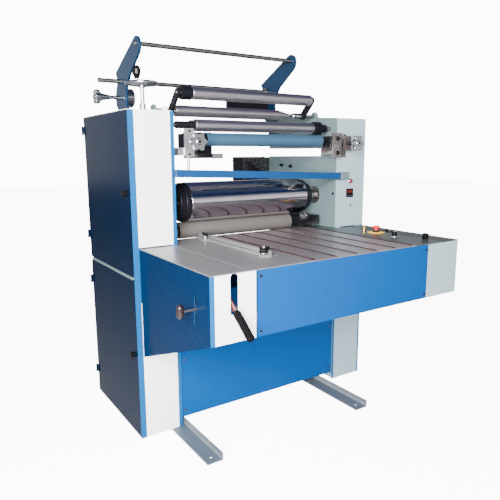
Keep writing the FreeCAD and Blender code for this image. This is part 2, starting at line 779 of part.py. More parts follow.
# ---------------------------------------------------------------- side guide
guide_low = table_top + gap
guide_bar = block(-312.0, -292.0, -775.0, -178.0, guide_low, guide_low + 10)
guide_fence = block(-292.0, -289.0, -775.0, -178.0, guide_low, guide_low + 24)
guide_tab = block(-292.0, -250.0, -215.0, -185.0, guide_low, guide_low + 16)
guide_pads = [block(-330.0, -300.0, y - 14, y + 14, guide_low, guide_low + 10)
              for y in (-760.0, -285.0)]
guide_pin = rod("Z", guide_low, 34.0, 9.0, -275.0, -725.0)
guide_wing = block(-292.0, -262.0, -739.0, -711.0, guide_low, guide_low + 8)
guide_holes = [rod("Z", guide_low - 1, 12.0, 4 + running, -316.0, y) for y in (-760.0, -285.0)]
node("side_guide", cut(fuse(guide_bar, guide_fence, guide_tab, guide_pin, guide_wing, *guide_pads),
                       *guide_holes))


def thumb_screw(y, wide_knob):
    """A clamping screw for the side guide, through the table's slot."""
    stem = rod("Z", table_under - 6, 46.0, 4.0, -316.0, y)
    nut = rod("Z", table_under - 6, 5.5, 8.0, -316.0, y)
    collar = rod("Z", guide_low + 10 + gap, 6.0, 8.0, -316.0, y)
    if wide_knob:
        head = fuse(rod("Z", guide_low + 16, 20.0, 17.0, -316.0, y),
                    rod("Z", guide_low + 36, 5.0, 13.0, -316.0, y))
    else:
        head = block(-320.5, -311.5, y - 24, y + 24, guide_low + 26, guide_low + 38)
    return fuse(stem, nut, collar, head)


node("guide_screw_front", thumb_screw(-760.0, True))
node("guide_screw_rear", thumb_screw(-285.0, False))


# ---------------------------------------------------------------- side lever
knob = fuse(rod("Z", 728.0, 24.0, 14.0, -707.0, -815.0),
            ball(14.0, -707.0, -815.0, 728.0), ball(14.0, -707.0, -815.0, 752.0))
node("side_lever", fuse(rod("X", -700.0, 60.0, 5.0, -815.0, 740.0),
                        block(table_left + 2.5, table_left + 12, -821.9, -808.1, 725.0, 755.0),
                        rod("X", -697.0, 10.0, 8.0, -815.0, 740.0), knob))


# ---------------------------------------------------------------- operator's controls
def on_table(height, radius, x, y, lift=0.0):
    return rod("Z", table_top + lift, height, radius, x, y)


stop_plate = cut(fuse(block(485.0, 545.0, -594.0, -534.0, table_top, table_top + 6),
                      on_table(14.0, 16.0, 515.0, -564.0)),
                 on_table(16.0, 8 + running, 515.0, -564.0, -1.0))
bezel = cut(on_table(4.0, 19.0, 495.0, -700.0), on_table(6.0, 4 + running, 495.0, -700.0, -1.0))
selector_base = cut(on_table(4.0, 15.0, 560.0, -830.0),
                    on_table(6.0, 6 + running, 560.0, -830.0, -1.0))
rocker_frame = cut(block(592.0, 628.0, -583.0, -539.0, table_top, table_top + 3),
                   block(597.0, 623.0, -578.0, -544.0, table_top - 1, table_top + 4))
rocker_cheeks = [block(x, x + 3, -566.0, -556.0, table_top - 24, table_under)
                 for x in (594.0, 623.0)]
rocker_pin = rod("X", 594.0, 32.0, 2.5, -561.0, table_top - 14)
post_head = fuse(on_table(16.0, 9.0, 508.0, -487.0), on_table(8.0, 12.0, 508.0, -487.0, 16.0))
node("control_fittings", group(stop_plate, bezel, selector_base, post_head,
                               fuse(rocker_frame, *rocker_cheeks, rocker_pin)))

node("emergency_stop", fuse(on_table(34.0, 8.0, 515.0, -564.0, -4.0),
                            on_table(8.0, 20.0, 515.0, -564.0, 24.0),
                            cone("Z", table_top + 32, 6.0, 20.0, 13.0, 515.0, -564.0)))
node("speed_knob", fuse(on_table(20.0, 4.0, 495.0, -700.0, -8.0),
                        on_table(16.0, 13.0, 495.0, -700.0, 4.3),
                        on_table(5.0, 11.0, 495.0, -700.0, 20.0),
                        block(494.0, 496.0, -712.0, -700.0, table_top + 25, table_top + 26.5)))
node("selector_switch", fuse(on_table(20.0, 6.0, 560.0, -830.0, -12.0),
                             block(549.0, 571.0, -841.0, -819.0, table_top + 4.4, table_top + 28)))
rocker_body = fuse(block(598.5, 621.5, -574.0, -548.0, table_top - 16, table_top + 5),
                   rod("X", 598.5, 23.0, 7.0, -561.0, table_top - 14))
node("rocker_switch", cut(rocker_body,
                          rod("X", 597.0, 26.0, 2.5 + running, -561.0, table_top - 14)))

lamp = fuse(rod("Y", panel_y - 4, 4.0, 13.5, 572.0, 1129.0),
            rod("Y", panel_y, 30.0, 11.0, 572.0, 1129.0),
            cone("Y", panel_y - 14, 10.0, 9.0, 11.5, 572.0, 1129.0))
controller = fuse(block(543.5, 591.5, panel_y - 6, panel_y, 1041.0, 1089.0),
                  block(545.0, 589.0, panel_y, panel_y + 70, 1043.0, 1087.0))
switch_body = cut(fuse(rod("Y", panel_y - 6, 6.0, 8.0, 575.0, 1001.0),
                       rod("Y", panel_y, 12.0, 6.0, 575.0, 1001.0)),
                  rod("Y", panel_y - 7, 11.0, 4.5, 575.0, 1001.0))
node("front_indicators", group(lamp, controller, switch_body))
node("toggle_switch", fuse(ball(3.6, 575.0, panel_y - 2, 1001.0),
                           rod("X", 571.0, 8.0, 1.5, panel_y - 2, 1001.0),
                           cone("Y", panel_y - 24, 22.0, 3.2, 2.0, 575.0, 1001.0)))


# ---------------------------------------------------------------- rear arms and their shafts
arm_outline = [(107.2, 1827.3), (380.0, 1697.0), (357.0, 1652.0), (398.0, 1577.0),
               (385.0, 1528.0), (300.0, 1440.0), (300.0, 1370.0), (215.0, 1370.0),
               (215.0, 1440.0), (238.0, 1530.0), (240.0, 1600.0), (190.0, 1662.0),
               (66.8, 1742.7)]
tie_y, tie_z = dim("tie_y"), dim("tie_z")
unwind_y, unwind_z = dim("unwind_y"), dim("unwind_z")
tension_y, tension_z = dim("tension_y"), dim("tension_z")


def rear_arm(start):
    """A plate standing on a side plate, bored for the shafts it carries."""
    whole = outline_body("YZ", arm_outline, start, plate, (len(arm_outline) - 1, 44.6, 1805.3))
    return cut(whole,
               rod("X", start - 1, plate + 2, 11.0, tie_y, tie_z),
               rod("X", start - 1, plate + 2, 11 + running, unwind_y, unwind_z),
               rod("X", start - 1, plate + 2, 9 + running, tension_y, tension_z))


node("unwind_arms", group(rear_arm(-inner), rear_arm(inner - plate)))
node("arm_tie_rod", rod("X", -inner, 2 * inner, 11.0, tie_y, tie_z))
node("unwind_shaft", fuse(rod("X", -588.0, 1088.0, 11.0, unwind_y, unwind_z),
                          rod("X", -inner + plate + gap, 14.0, 20.0, unwind_y, unwind_z),
                          rod("X", inner - plate - gap - 14, 14.0, 20.0, unwind_y, unwind_z)))
tension_lobes = [rod("X", -603.0, 22.0, 11.0,
                     tension_y + 27 * math.cos(math.radians(a)),
                     tension_z + 27 * math.sin(math.radians(a))) for a in range(0, 360, 60)]
node("tension_knob", fuse(rod("X", -607.0, 207.0, 9.0, tension_y, tension_z),
                          rod("X", -605.0, 26.0, 27.0, tension_y, tension_z),
                          cone("X", -579.0, 60.0, 20.0, 10.0, tension_y, tension_z),
                          rod("X", -450.0, 45.0, 48.0, tension_y, tension_z), *tension_lobes))

guide_plate = block(160.0, inner - plate, 300.0, 310.0, 1540.0, 1600.0)
guide_bolts = [rod("Y", 294.0, 6.0, 6.0, x, 1570.0) for x in (185.0, 300.0, 430.0)]
node("rear_guide_plate", fuse(guide_plate, *guide_bolts))

box_shell = block(280.0, 520.0, rear, rear + 120, 1100.0, 1256.0)
box_lid = block(277.0, 523.0, rear + 120, rear + 123, 1097.0, 1259.0)
box_tab = block(492.0, 516.0, rear, rear + 3, 1080.0, 1100.0)
node("rear_control_box", fuse(box_shell, box_lid, box_tab))


# ---------------------------------------------------------------- film rollers
guide_y, guide_z = dim("guide_y"), dim("guide_z")
film_y, film_z = dim("film_y"), dim("film_z")
chrome_y, chrome_z = dim("chrome_y"), dim("chrome_z")
blue_y, blue_z = dim("blue_y"), dim("blue_z")

arms = []
for x in (-397.0, 385.0):
    arms.append(link_bar(x, 12.0, DRIVING["film_y"], DRIVING["film_z"],
                         DRIVING["guide_y"], DRIVING["guide_z"], 19.0, 9.05, 9.05))
node("dancer_arms", group(*arms))

ribs = [rod("X", -377.0 + 11 * index, 6.0, 31.0, guide_y, guide_z) for index in range(5)]
node("upper_guide_roller", fuse(rod("X", -322.0, 700.0, 28.0, guide_y, guide_z),
                                rod("X", -377.0, 55.0, 25.0, guide_y, guide_z),
                                rod("X", -397.0, 794.0, 9.0, guide_y, guide_z), *ribs))
node("film_roller", fuse(rod("X", -482.0, 964.0, 9.0, film_y, film_z),
                         rod("X", -372.0, 591.0, 26.0, film_y, film_z),
                         cone("X", 219.0, 81.0, 26.0, 9.0, film_y, film_z),
                         rod("X", 320.0, 55.0, 14.0, film_y, film_z)))
node("chrome_guide_roller", fuse(rod("X", -482.0, 964.0, 10.0, chrome_y, chrome_z),
                                 rod("X", -342.0, 688.0, 27.0, chrome_y, chrome_z),
                                 rod("X", -436.0, 86.0, 16.0, chrome_y, chrome_z),
                                 rod("X", -366.0, 16.0, 22.0, chrome_y, chrome_z),
                                 rod("X", 350.0, 14.0, 34.0, chrome_y, chrome_z),
                                 rod("X", 364.0, 16.0, 22.0, chrome_y, chrome_z),
                                 rod("X", 380.0, 14.0, 34.0, chrome_y, chrome_z),
                                 rod("X", 394.0, 42.0, 20.0, chrome_y, chrome_z)))
node("blue_nip_roller", fuse(rod("X", -434.0, 889.0, 10.0, blue_y, blue_z),
                             rod("X", -315.0, 675.0, 29.5, blue_y, blue_z)))


# ---------------------------------------------------------------- nip adjusters
star_y, star_z = dim("star_y"), dim("star_z")
shelf_top = blue_z - 36 - gap


def nip_block(x0, x1):
    return block(x0, x1, -330.0, -270.0, blue_z - 36, blue_z + 24)


finger = block(455.0, 520.0, -337.0, -327.0, 1312.0, 1344.0)
nip_blocks = cut(fuse(nip_block(405.0, 455.0), finger),
                 rod("X", 404.0, 60.0, 10 + running, blue_y, blue_z))
left_nip_block = cut(nip_block(-434.0, -394.0),
                     rod("X", -435.0, 60.0, 10 + running, blue_y, blue_z))
node("nip_roller_blocks", group(left_nip_block, nip_blocks))

left_shelf = block(-inner, -394.0, -344.0, -248.0, 1272.0, shelf_top)
left_front_plate = cut(block(-440.0, -396.0, -352.0, -344.0, 1264.0, 1386.0),
                       rod("Y", -353.0, 10.0, 8 + running, dim("star_left"), star_z))
left_back_plate = block(-397.0, -255.0, -256.0, -248.0, 1258.0, 1374.0)
left_sensor = fuse(rod("X", -255.0, 56.0, 11.0, -252.0, 1268.0),
                   block(-330.0, -255.0, -262.0, -256.0, 1262.0, 1274.0))
left_hanger = rod("Z", 1211.0, 53.0, 6.0, -424.0, -348.0)
right_shelf = block(402.0, inner, -344.0, -262.0, 1272.0, shelf_top)
right_base = block(inner, 530.0, panel_y - 4, panel_y, 1257.0, 1380.0)
right_web = block(524.0, 530.0, -352.0, panel_y - 4, 1290.0, 1366.0)
right_ear = cut(block(480.0, 530.0, -352.0, -344.5, 1290.0, 1366.0),
                rod("Y", -353.0, 12.0, 8 + running, dim("star_right"), star_z))
right_front = block(402.0, 462.0, -352.0, -344.0, 1257.0, 1380.0)
node("adjust_brackets", group(
    fuse(left_shelf, left_front_plate, left_back_plate, left_sensor, left_hanger),
    fuse(right_shelf, right_front), fuse(right_base, right_web, right_ear)))


def star_wheel(x, tip_y):
    """A lobed handwheel on an adjusting screw."""
    lobes = [rod("Y", star_y - 8, 15.0, 10.0, x + 32 * math.cos(math.radians(a)),
                 star_z + 32 * math.sin(math.radians(a))) for a in range(0, 360, 60)]
    return fuse(rod("Y", star_y - 8, 15.0, 33.0, x, star_z),
                rod("Y", star_y - 14, 6.0, 14.0, x, star_z),
                cone("Y", star_y + 7, 22.0, 20.0, 11.0, x, star_z),
                rod("Y", star_y + 20, tip_y - star_y - 20, 8.0, x, star_z), *lobes)


node("left_star_wheel", star_wheel(dim("star_left"), -330.0 - gap))
node("right_star_wheel", star_wheel(dim("star_right"), -337.0 - gap))


# ---------------------------------------------------------------- top handwheel
wheel_z = dim("wheel_z")
wheel_r = dim("wheel_radius")
handle_y = wheel_y + 58
node("top_handwheel", fuse(
    rod("Z", top - 20, wheel_z - top + 24, 9.0, wheel_x, wheel_y),
    rod("Z", top + 10 + gap, 30.0, 14.0, wheel_x, wheel_y),
    rod("Z", wheel_z - 14, 26.0, 17.0, wheel_x, wheel_y),
    cut(cone("Z", wheel_z - 8, 14.0, 40.0, wheel_r - 5, wheel_x, wheel_y),
        cone("Z", wheel_z - 4, 10.1, 30.0, wheel_r - 12, wheel_x, wheel_y)),
    rod("Z", wheel_z - 8, 5.0, 42.0, wheel_x, wheel_y),
    ring(wheel_r - 8, 8.0, wheel_x, wheel_y, wheel_z + 4),
    rod("Z", wheel_z, 90.0, 5.0, wheel_x, handle_y)))
node("handwheel_handle", cut(
    turned("Z", wheel_z + 31, [(8.0, 12.0), (12.0, 12.0, 19.0), (20.0, 19.0), (18.0, 19.0, 14.0)],
           wheel_x, handle_y),
    rod("Z", wheel_z + 30, 62.0, 5 + running, wheel_x, handle_y)))


# ---------------------------------------------------------------- small fittings
def screw(x, y, z):
    return rod("Y", y - 2, 2.0, 5.0, x, z)


fittings = [screw(x, table_front, 853.0) for x in (-442.0, 452.0)]
fittings += [screw(x, table_front, 650.0) for x in (-442.0, 452.0)]
fittings += [screw(x, kick_y, z) for x in (-450.0, 450.0) for z in (80.0, 330.0, 600.0)]
fittings += [rod("X", inner - 14, 14.0, 11.0, y, z) for y, z in ((173.0, 1209.0), (84.0, 1204.0))]
fittings.append(rod("X", inner - 5, 5.0, 7.0, -287.0, 1064.0))
fittings.append(fuse(rod("Z", top, 12.0, 13.0, -497.0, -285.0),
                     cone("Z", top + 12, 8.0, 13.0, 6.0, -497.0, -285.0)))
node("panel_fittings", group(*fittings))


# ---------------------------------------------------------------- check and export
doc.recompute()
broken = [item.Name for item in doc.Objects if {"Invalid", "Error"} & set(item.State)]
if broken:
    raise RuntimeError(f"objects that did not recompute: {broken}")
os.makedirs("parts", exist_ok=True)
for part in sub_parts:
    shape = part.Shape
    if shape.isNull() or not shape.isValid():
        raise RuntimeError(f"{part.Label} is not a valid solid")
    shape.exportStep(f"parts/{part.Label}.step")
    bounds = shape.BoundBox
    print(f"{part.Label}: {bounds.XMin:.1f}..{bounds.XMax:.1f}, {bounds.YMin:.1f}..{bounds.YMax:.1f}, "
          f"{bounds.ZMin:.1f}..{bounds.ZMax:.1f}, {len(shape.Solids)} solids")
print(f"{len(sub_parts)} sub-parts exported")
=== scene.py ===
"""A wide roll laminator: its finishes, detailed pieces, studio and camera.

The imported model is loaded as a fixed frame. Each sub-assembly is a class that dresses the frame's
nodes and builds the pieces that need more detail than the frame holds.
Lengths are in metres: +X is the operator's right, +Y is to the rear and +Z is up.
"""
from __future__ import annotations

import logging
import math
from dataclasses import dataclass
from enum import Enum
from typing import Callable, Iterable, Sequence

import bpy
from mathutils import Euler, Matrix, Vector

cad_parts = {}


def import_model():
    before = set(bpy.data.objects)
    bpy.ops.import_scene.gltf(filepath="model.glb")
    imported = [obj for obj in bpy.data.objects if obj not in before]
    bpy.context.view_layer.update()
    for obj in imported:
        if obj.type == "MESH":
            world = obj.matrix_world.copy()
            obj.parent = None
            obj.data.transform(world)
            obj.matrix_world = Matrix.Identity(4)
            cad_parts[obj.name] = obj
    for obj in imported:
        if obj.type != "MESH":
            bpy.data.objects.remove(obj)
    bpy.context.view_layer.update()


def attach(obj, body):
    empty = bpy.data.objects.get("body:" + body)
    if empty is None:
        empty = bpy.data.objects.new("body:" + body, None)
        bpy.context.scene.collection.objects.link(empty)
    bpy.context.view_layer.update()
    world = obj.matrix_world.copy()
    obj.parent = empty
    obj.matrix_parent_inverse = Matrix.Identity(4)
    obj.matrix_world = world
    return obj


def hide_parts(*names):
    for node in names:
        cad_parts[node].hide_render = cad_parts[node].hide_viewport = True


LOG = logging.getLogger("laminator")
MM = 0.001
Colour = tuple[float, float, float]
Point = tuple[float, float, float]


# ------------------------------------------------------------------------------ finishes
class Surface(Enum):
    """What a finish looks like close up."""

    ENAMEL = "sprayed paint with a faint orange peel"
    BRUSHED = "fine lines along one direction"
    CAST = "rough casting under plating"
    MOULDED = "moulded plastic"
    SOFT = "rubber or silicone"
    WOVEN = "a woven belt"


@dataclass(frozen=True)
class Finish:
    """One finish and the material it makes.

    Args:
        name: The material's name.
        colour: Main colour, linear.
        second: The colour that wear, dust, grain and painted reflection streaks bring in, linear.
        surface: What it looks like close up.
        metallic: 1 for bare metal.
        rough: Lowest and highest roughness.
        grain: Cells of the fine pattern per metre.
        relief: Height of the fine pattern in metres.
        along: Axes that brushed lines run along, two of them for lines round the third.
        coat: Strength of a clear coat.
        wear: How far the second colour shows along the edges.
        dirt_and_sheen: How far dirt gathers in broad patches; on brushed finishes the patches are
            streaks that are painted reflection bands.
        fleck: How far the fine pattern shows in the colour.
        bumpiness: How strongly the fine pattern shows as relief.
        shine: Strength of the mirror reflection of a finish that isn't metal.
    """

    name: str
    colour: Colour
    second: Colour
    surface: Surface
    metallic: float = 0.0
    rough: tuple[float, float] = (0.3, 0.45)
    grain: float = 400.0
    relief: float = 0.00005
    along: str = "X"
    coat: float = 0.0
    wear: float = 0.0
    dirt_and_sheen: float = 0.12
    fleck: float = 0.08
    bumpiness: float = 0.3
    shine: float = 0.3

    def material(self) -> bpy.types.Material:
        """Make the material, once for each name.

        Returns:
            The material.
        """
        title = f"{self.name}_finish"
        made = bpy.data.materials.get(title)
        if made is not None:
            return made
        made = bpy.data.materials.new(title)
        made.use_nodes = True
        NodeBench(made).finish(self)
        return made


class NodeBench:
    """Builds one material's nodes."""

    def __init__(self, material: bpy.types.Material) -> None:
        """Start from a bare shader.

        Args:
            material: The material whose nodes are built.
        """
        self.tree = material.node_tree
        self.shader = self.tree.nodes["Principled BSDF"]
        self.place = self.tree.nodes.new("ShaderNodeTexCoord").outputs["Object"]

    def link(self, start: bpy.types.NodeSocket, end: bpy.types.NodeSocket) -> None:
        """Join two sockets."""
        self.tree.links.new(start, end)

    def mapped(self, scale: Point) -> bpy.types.NodeSocket:
        """Object coordinates stretched by a scale.

        Args:
            scale: Factor along each axis.

        Returns:
            The mapped coordinates.
        """
        node = self.tree.nodes.new("ShaderNodeMapping")
        node.inputs["Scale"].default_value = scale
        self.link(self.place, node.inputs["Vector"])
        return node.outputs["Vector"]

    def noise(self, scale: float, detail: float = 4.0, stretch: Point = (1, 1, 1),
              roughness: float = 0.55) -> bpy.types.NodeSocket:
        """A noise value.

        Args:
            scale: Cells per metre.
            detail: Octaves.
            stretch: Factor along each axis.
            roughness: How strong the fine octaves are.

        Returns:
            The noise, from 0 to 1.
        """
        node = self.tree.nodes.new("ShaderNodeTexNoise")
        node.inputs["Scale"].default_value = scale
        node.inputs["Detail"].default_value = detail
        node.inputs["Roughness"].default_value = roughness
        self.link(self.mapped(stretch), node.inputs["Vector"])
        return node.outputs["Fac"]

    def ranged(self, value: bpy.types.NodeSocket, low: float, high: float, out_low: float,
               out_high: float) -> bpy.types.NodeSocket:
        """Map a value from one range to another, clamped.

        Args:
            value: The value.
            low: Where the range starts.
            high: Where it ends.
            out_low: What it gives at the start.
            out_high: What it gives at the end.

        Returns:
            The mapped value.
        """
        node = self.tree.nodes.new("ShaderNodeMapRange")
        self.link(value, node.inputs["Value"])
        for key, number in (("From Min", low), ("From Max", high), ("To Min", out_low),
                            ("To Max", out_high)):
            node.inputs[key].default_value = number
        return node.outputs["Result"]

    def math(self, kind: str, first: bpy.types.NodeSocket,
             second: bpy.types.NodeSocket | float) -> bpy.types.NodeSocket:
        """One arithmetic step.

        Args:
            kind: The operation.
            first: Its first value.
            second: Its second value, a socket or a number.

        Returns:
            The result.
        """
        node = self.tree.nodes.new("ShaderNodeMath")
        node.operation = kind
        self.link(first, node.inputs[0])
        if isinstance(second, bpy.types.NodeSocket):
            self.link(second, node.inputs[1])
        else:
            node.inputs[1].default_value = second
        return node.outputs[0]

    def blend(self, amount: bpy.types.NodeSocket, first: Colour | bpy.types.NodeSocket,
              second: Colour) -> bpy.types.NodeSocket:
        """Mix two colours.

        Args:
            amount: How much of the second shows.
            first: A colour or a socket that gives one.
            second: A colour.

        Returns:
            The mixed colour.
        """
        node = self.tree.nodes.new("ShaderNodeMix")
        node.data_type = "RGBA"
        self.link(amount, node.inputs["Factor"])
        ends = {end.name: end for end in node.inputs if end.type == "RGBA"}
        if isinstance(first, bpy.types.NodeSocket):
            self.link(first, ends["A"])
        else:
            ends["A"].default_value = (*first, 1.0)
        ends["B"].default_value = (*second, 1.0)
        return next(end for end in node.outputs if end.type == "RGBA")

    def bump(self, height: bpy.types.NodeSocket, distance: float, strength: float) -> None:
        """Raise the surface by a height.

        Args:
            height: The height, from 0 to 1.
            distance: What a height of 1 stands for in metres.
            strength: How strongly it shows.
        """
        node = self.tree.nodes.new("ShaderNodeBump")
        node.inputs["Distance"].default_value = distance
        node.inputs["Strength"].default_value = strength
        self.link(height, node.inputs["Height"])
        self.link(node.outputs["Normal"], self.shader.inputs["Normal"])

    def edges(self) -> bpy.types.NodeSocket:
        """Where the surface turns over an outer edge, from 0 to 1."""
        geometry = self.tree.nodes.new("ShaderNodeNewGeometry")
        return self.ranged(geometry.outputs["Pointiness"], 0.53, 0.62, 0.0, 1.0)

    def fine(self, finish: Finish) -> bpy.types.NodeSocket:
        """The fine pattern of a finish.

        Args:
            finish: The finish.

        Returns:
            The pattern, from 0 to 1.
        """
        if finish.surface is Surface.BRUSHED:
            long_way = {axis: 0.02 if axis in finish.along else 1.0 for axis in "XYZ"}
            return self.noise(finish.grain, 5.0, (long_way["X"], long_way["Y"], long_way["Z"]))
        if finish.surface is Surface.WOVEN:
            waves = []
            for direction in "XY":
                wave = self.tree.nodes.new("ShaderNodeTexWave")
                wave.bands_direction = direction
                wave.inputs["Scale"].default_value = finish.grain
                self.link(self.place, wave.inputs["Vector"])
                waves.append(wave.outputs["Fac"])
            return self.math("MULTIPLY", waves[0], waves[1])
        return self.noise(finish.grain, 6.0)

    def finish(self, finish: Finish) -> None:
        """Build the whole material.

        Args:
            finish: What it looks like.
        """
        self.shader.inputs["Base Color"].default_value = (*finish.colour, 1.0)
        self.shader.inputs["Metallic"].default_value = finish.metallic
        self.shader.inputs["Coat Weight"].default_value = finish.coat
        self.shader.inputs["Specular IOR Level"].default_value = finish.shine
        self.shader.inputs["Coat Roughness"].default_value = 0.08
        fine = self.fine(finish)
        drawn = finish.surface is Surface.BRUSHED
        # On brushed finishes the broad noise is stretched along the brushing into streaks, which
        # are painted reflection bands. On other finishes it gives dirt patches.
        reach = {axis: 0.2 if drawn and axis in finish.along else 1.0 for axis in "XYZ"}
        broad = self.noise(9.0 if drawn else 4.0, 5.0, (reach["X"], reach["Y"], reach["Z"]))
        dirt_and_sheen_patches = self.ranged(broad, 0.42, 0.78, 0.0, finish.dirt_and_sheen)
        fleck = self.ranged(fine, 0.35, 0.75, 0.0, finish.fleck)
        colour = self.blend(self.math("ADD", dirt_and_sheen_patches, fleck), finish.colour, finish.second)
        if finish.wear > 0:
            rubbed = self.math("MULTIPLY", self.edges(), self.noise(90.0, 5.0))
            colour = self.blend(self.ranged(rubbed, 0.18, 0.5, 0.0, finish.wear), colour,
                                (0.32, 0.33, 0.34))
        self.link(colour, self.shader.inputs["Base Color"])
        mixed = self.math("ADD", self.math("MULTIPLY", fine, 0.6),
                          self.math("MULTIPLY", broad, 0.4))
        self.link(self.ranged(mixed, 0.3, 0.7, *finish.rough), self.shader.inputs["Roughness"])
        self.bump(fine, finish.relief, finish.bumpiness)


def tone(red: int, green: int, blue: int) -> Colour:
    """A colour given as on a paint card, from 0 to 255, made linear.

    Args:
        red: Red.
        green: Green.
        blue: Blue.

    Returns:
        The linear colour.
    """
    parts = []
    for part in (red, green, blue):
        share = part / 255
        parts.append(share / 12.92 if share <= 0.04045 else ((share + 0.055) / 1.055) ** 2.4)
    return parts[0], parts[1], parts[2]


SKY_BLUE = Finish("sky_blue_enamel", (0.0003, 0.046, 0.18), (0.002, 0.06, 0.2), Surface.ENAMEL,
                  rough=(0.24, 0.34), grain=260.0, coat=0.0, bumpiness=0.05, shine=0.06)
# Painted shade: the front's blue paint darkened for side faces that the light leaves in shade.
SHADED_SIDE_BLUE = Finish("side_blue_enamel", (0.0005, 0.011, 0.04), (0.003, 0.018, 0.05), Surface.ENAMEL,
                   rough=(0.2, 0.3), grain=260.0, coat=0.0, bumpiness=0.05, shine=0.05)
# Painted shade: the same blue paint darkened further for the left-hand doors, which face away from
# the light.
SHADED_DOOR_BLUE = Finish("door_blue_enamel", (0.0015, 0.006, 0.018), (0.003, 0.01, 0.026),
                   Surface.ENAMEL, rough=(0.16, 0.26), grain=260.0, coat=0.0, bumpiness=0.04,
                   shine=0.04)
BAR_BLUE = Finish("bar_blue_enamel", (0.004, 0.036, 0.12), (0.01, 0.05, 0.14), Surface.ENAMEL,
                  rough=(0.24, 0.34), grain=260.0, bumpiness=0.05, shine=0.2)
STRIP_BLUE = Finish("strip_blue_enamel", (0.001, 0.07, 0.2), (0.01, 0.09, 0.22), Surface.ENAMEL,
                    rough=(0.28, 0.42), grain=260.0, coat=0.0, bumpiness=0.05, shine=0.12)
# Painted shade: the blue paint darkened for the rear arms, which are in shade; its edge wear and
# dirt are real.
SHADED_ARM_BLUE = Finish("arm_blue_enamel", (0.001, 0.016, 0.046), (0.006, 0.026, 0.056), Surface.ENAMEL,
                  rough=(0.26, 0.38), grain=300.0, coat=0.05, wear=0.7, dirt_and_sheen=0.3,
                  bumpiness=0.08, shine=0.2)
WHITE = Finish("white_enamel", (0.88, 0.885, 0.89), (0.74, 0.75, 0.74), Surface.ENAMEL,
               rough=(0.3, 0.42), grain=260.0, coat=0.15, dirt_and_sheen=0.2, bumpiness=0.04)
# Painted shade: the white paint darkened for the right-hand cabinet, which gets less light than the
# left.
SHADED_COOL_WHITE = Finish("cool_white_enamel", (0.26, 0.34, 0.38), (0.2, 0.27, 0.3), Surface.ENAMEL,
                    rough=(0.3, 0.42), grain=260.0, coat=0.1, dirt_and_sheen=0.2, bumpiness=0.04)
SEA_GREY = Finish("sea_grey_enamel", (0.1, 0.145, 0.15), (0.07, 0.1, 0.105), Surface.ENAMEL,
                  rough=(0.36, 0.5), grain=260.0, dirt_and_sheen=0.3, wear=0.3, bumpiness=0.06)
TABLE_GREY = Finish("table_grey", (0.19, 0.185, 0.19), (0.12, 0.12, 0.125), Surface.BRUSHED,
                    metallic=0.3, rough=(0.26, 0.4), grain=500.0, along="Y", dirt_and_sheen=0.35,
                    fleck=0.12, bumpiness=0.1)
TABLE_STEEL = Finish("table_steel", (0.36, 0.3, 0.31), (0.2, 0.16, 0.17), Surface.BRUSHED,
                     metallic=0.7, rough=(0.24, 0.42), grain=700.0, along="Y", dirt_and_sheen=0.5,
                     fleck=0.3, bumpiness=0.15)
CONTROL_GREY = Finish("control_grey", (0.06, 0.075, 0.074), (0.035, 0.045, 0.045), Surface.BRUSHED,
                      metallic=0.3, rough=(0.3, 0.46), grain=500.0, along="Y", dirt_and_sheen=0.4,
                      fleck=0.12, bumpiness=0.1)
MARGIN_GREY = Finish("margin_grey", (0.025, 0.034, 0.038), (0.035, 0.045, 0.05), Surface.ENAMEL,
                     metallic=0.2, rough=(0.34, 0.5), grain=300.0, dirt_and_sheen=0.4, bumpiness=0.1)
FOOT_GREY = Finish("foot_grey", (0.08, 0.105, 0.14), (0.12, 0.14, 0.17), Surface.CAST,
                   metallic=0.3, rough=(0.4, 0.6), grain=240.0, relief=0.0001, wear=0.6,
                   dirt_and_sheen=0.4, fleck=0.3)
CHROME = Finish("chrome_plate", tone(226, 220, 226), tone(176, 170, 178), Surface.BRUSHED,
                metallic=1.0, rough=(0.07, 0.16), grain=900.0, relief=0.000004, along="YZ",
                dirt_and_sheen=0.25, fleck=0.1, bumpiness=0.05)
ROLLER_CHROME = Finish("roller_chrome", tone(212, 204, 210), tone(158, 150, 158),
                       Surface.BRUSHED, metallic=1.0, rough=(0.28, 0.4), grain=900.0,
                       relief=0.00001, along="YZ", dirt_and_sheen=0.3, fleck=0.15, bumpiness=0.08)
STEEL = Finish("turned_steel", tone(160, 156, 154), tone(92, 86, 82), Surface.BRUSHED,
               metallic=1.0, rough=(0.24, 0.42), grain=900.0, along="YZ", dirt_and_sheen=0.5, fleck=0.3)
PLATE_STEEL = Finish("milled_steel", tone(196, 198, 200), tone(120, 122, 122), Surface.BRUSHED,
                     metallic=0.9, rough=(0.26, 0.44), grain=700.0, along="X", dirt_and_sheen=0.45,
                     fleck=0.3)
CAST_CHROME = Finish("cast_chrome", (0.5, 0.51, 0.54), (0.2, 0.2, 0.22), Surface.CAST,
                     metallic=1.0, rough=(0.12, 0.28), grain=160.0, relief=0.0002, dirt_and_sheen=0.35,
                     fleck=0.25)
BRONZED = Finish("bronzed_iron", (0.07, 0.05, 0.047), (0.03, 0.022, 0.02), Surface.CAST,
                 metallic=0.4, rough=(0.4, 0.6), grain=240.0, relief=0.0003, dirt_and_sheen=0.5, wear=0.6,
                 fleck=0.35)
BLACK_METAL = Finish("black_metal", (0.006, 0.006, 0.009), (0.016, 0.016, 0.018), Surface.CAST,
                     metallic=0.3, rough=(0.28, 0.46), grain=260.0, relief=0.0002, wear=0.6,
                     dirt_and_sheen=0.3, fleck=0.2, shine=0.06)
BLACK_PLASTIC = Finish("black_plastic", (0.0025, 0.0025, 0.003), (0.007, 0.007, 0.008),
                       Surface.MOULDED, rough=(0.26, 0.4), grain=900.0, coat=0.1, dirt_and_sheen=0.3,
                       fleck=0.15, shine=0.08)
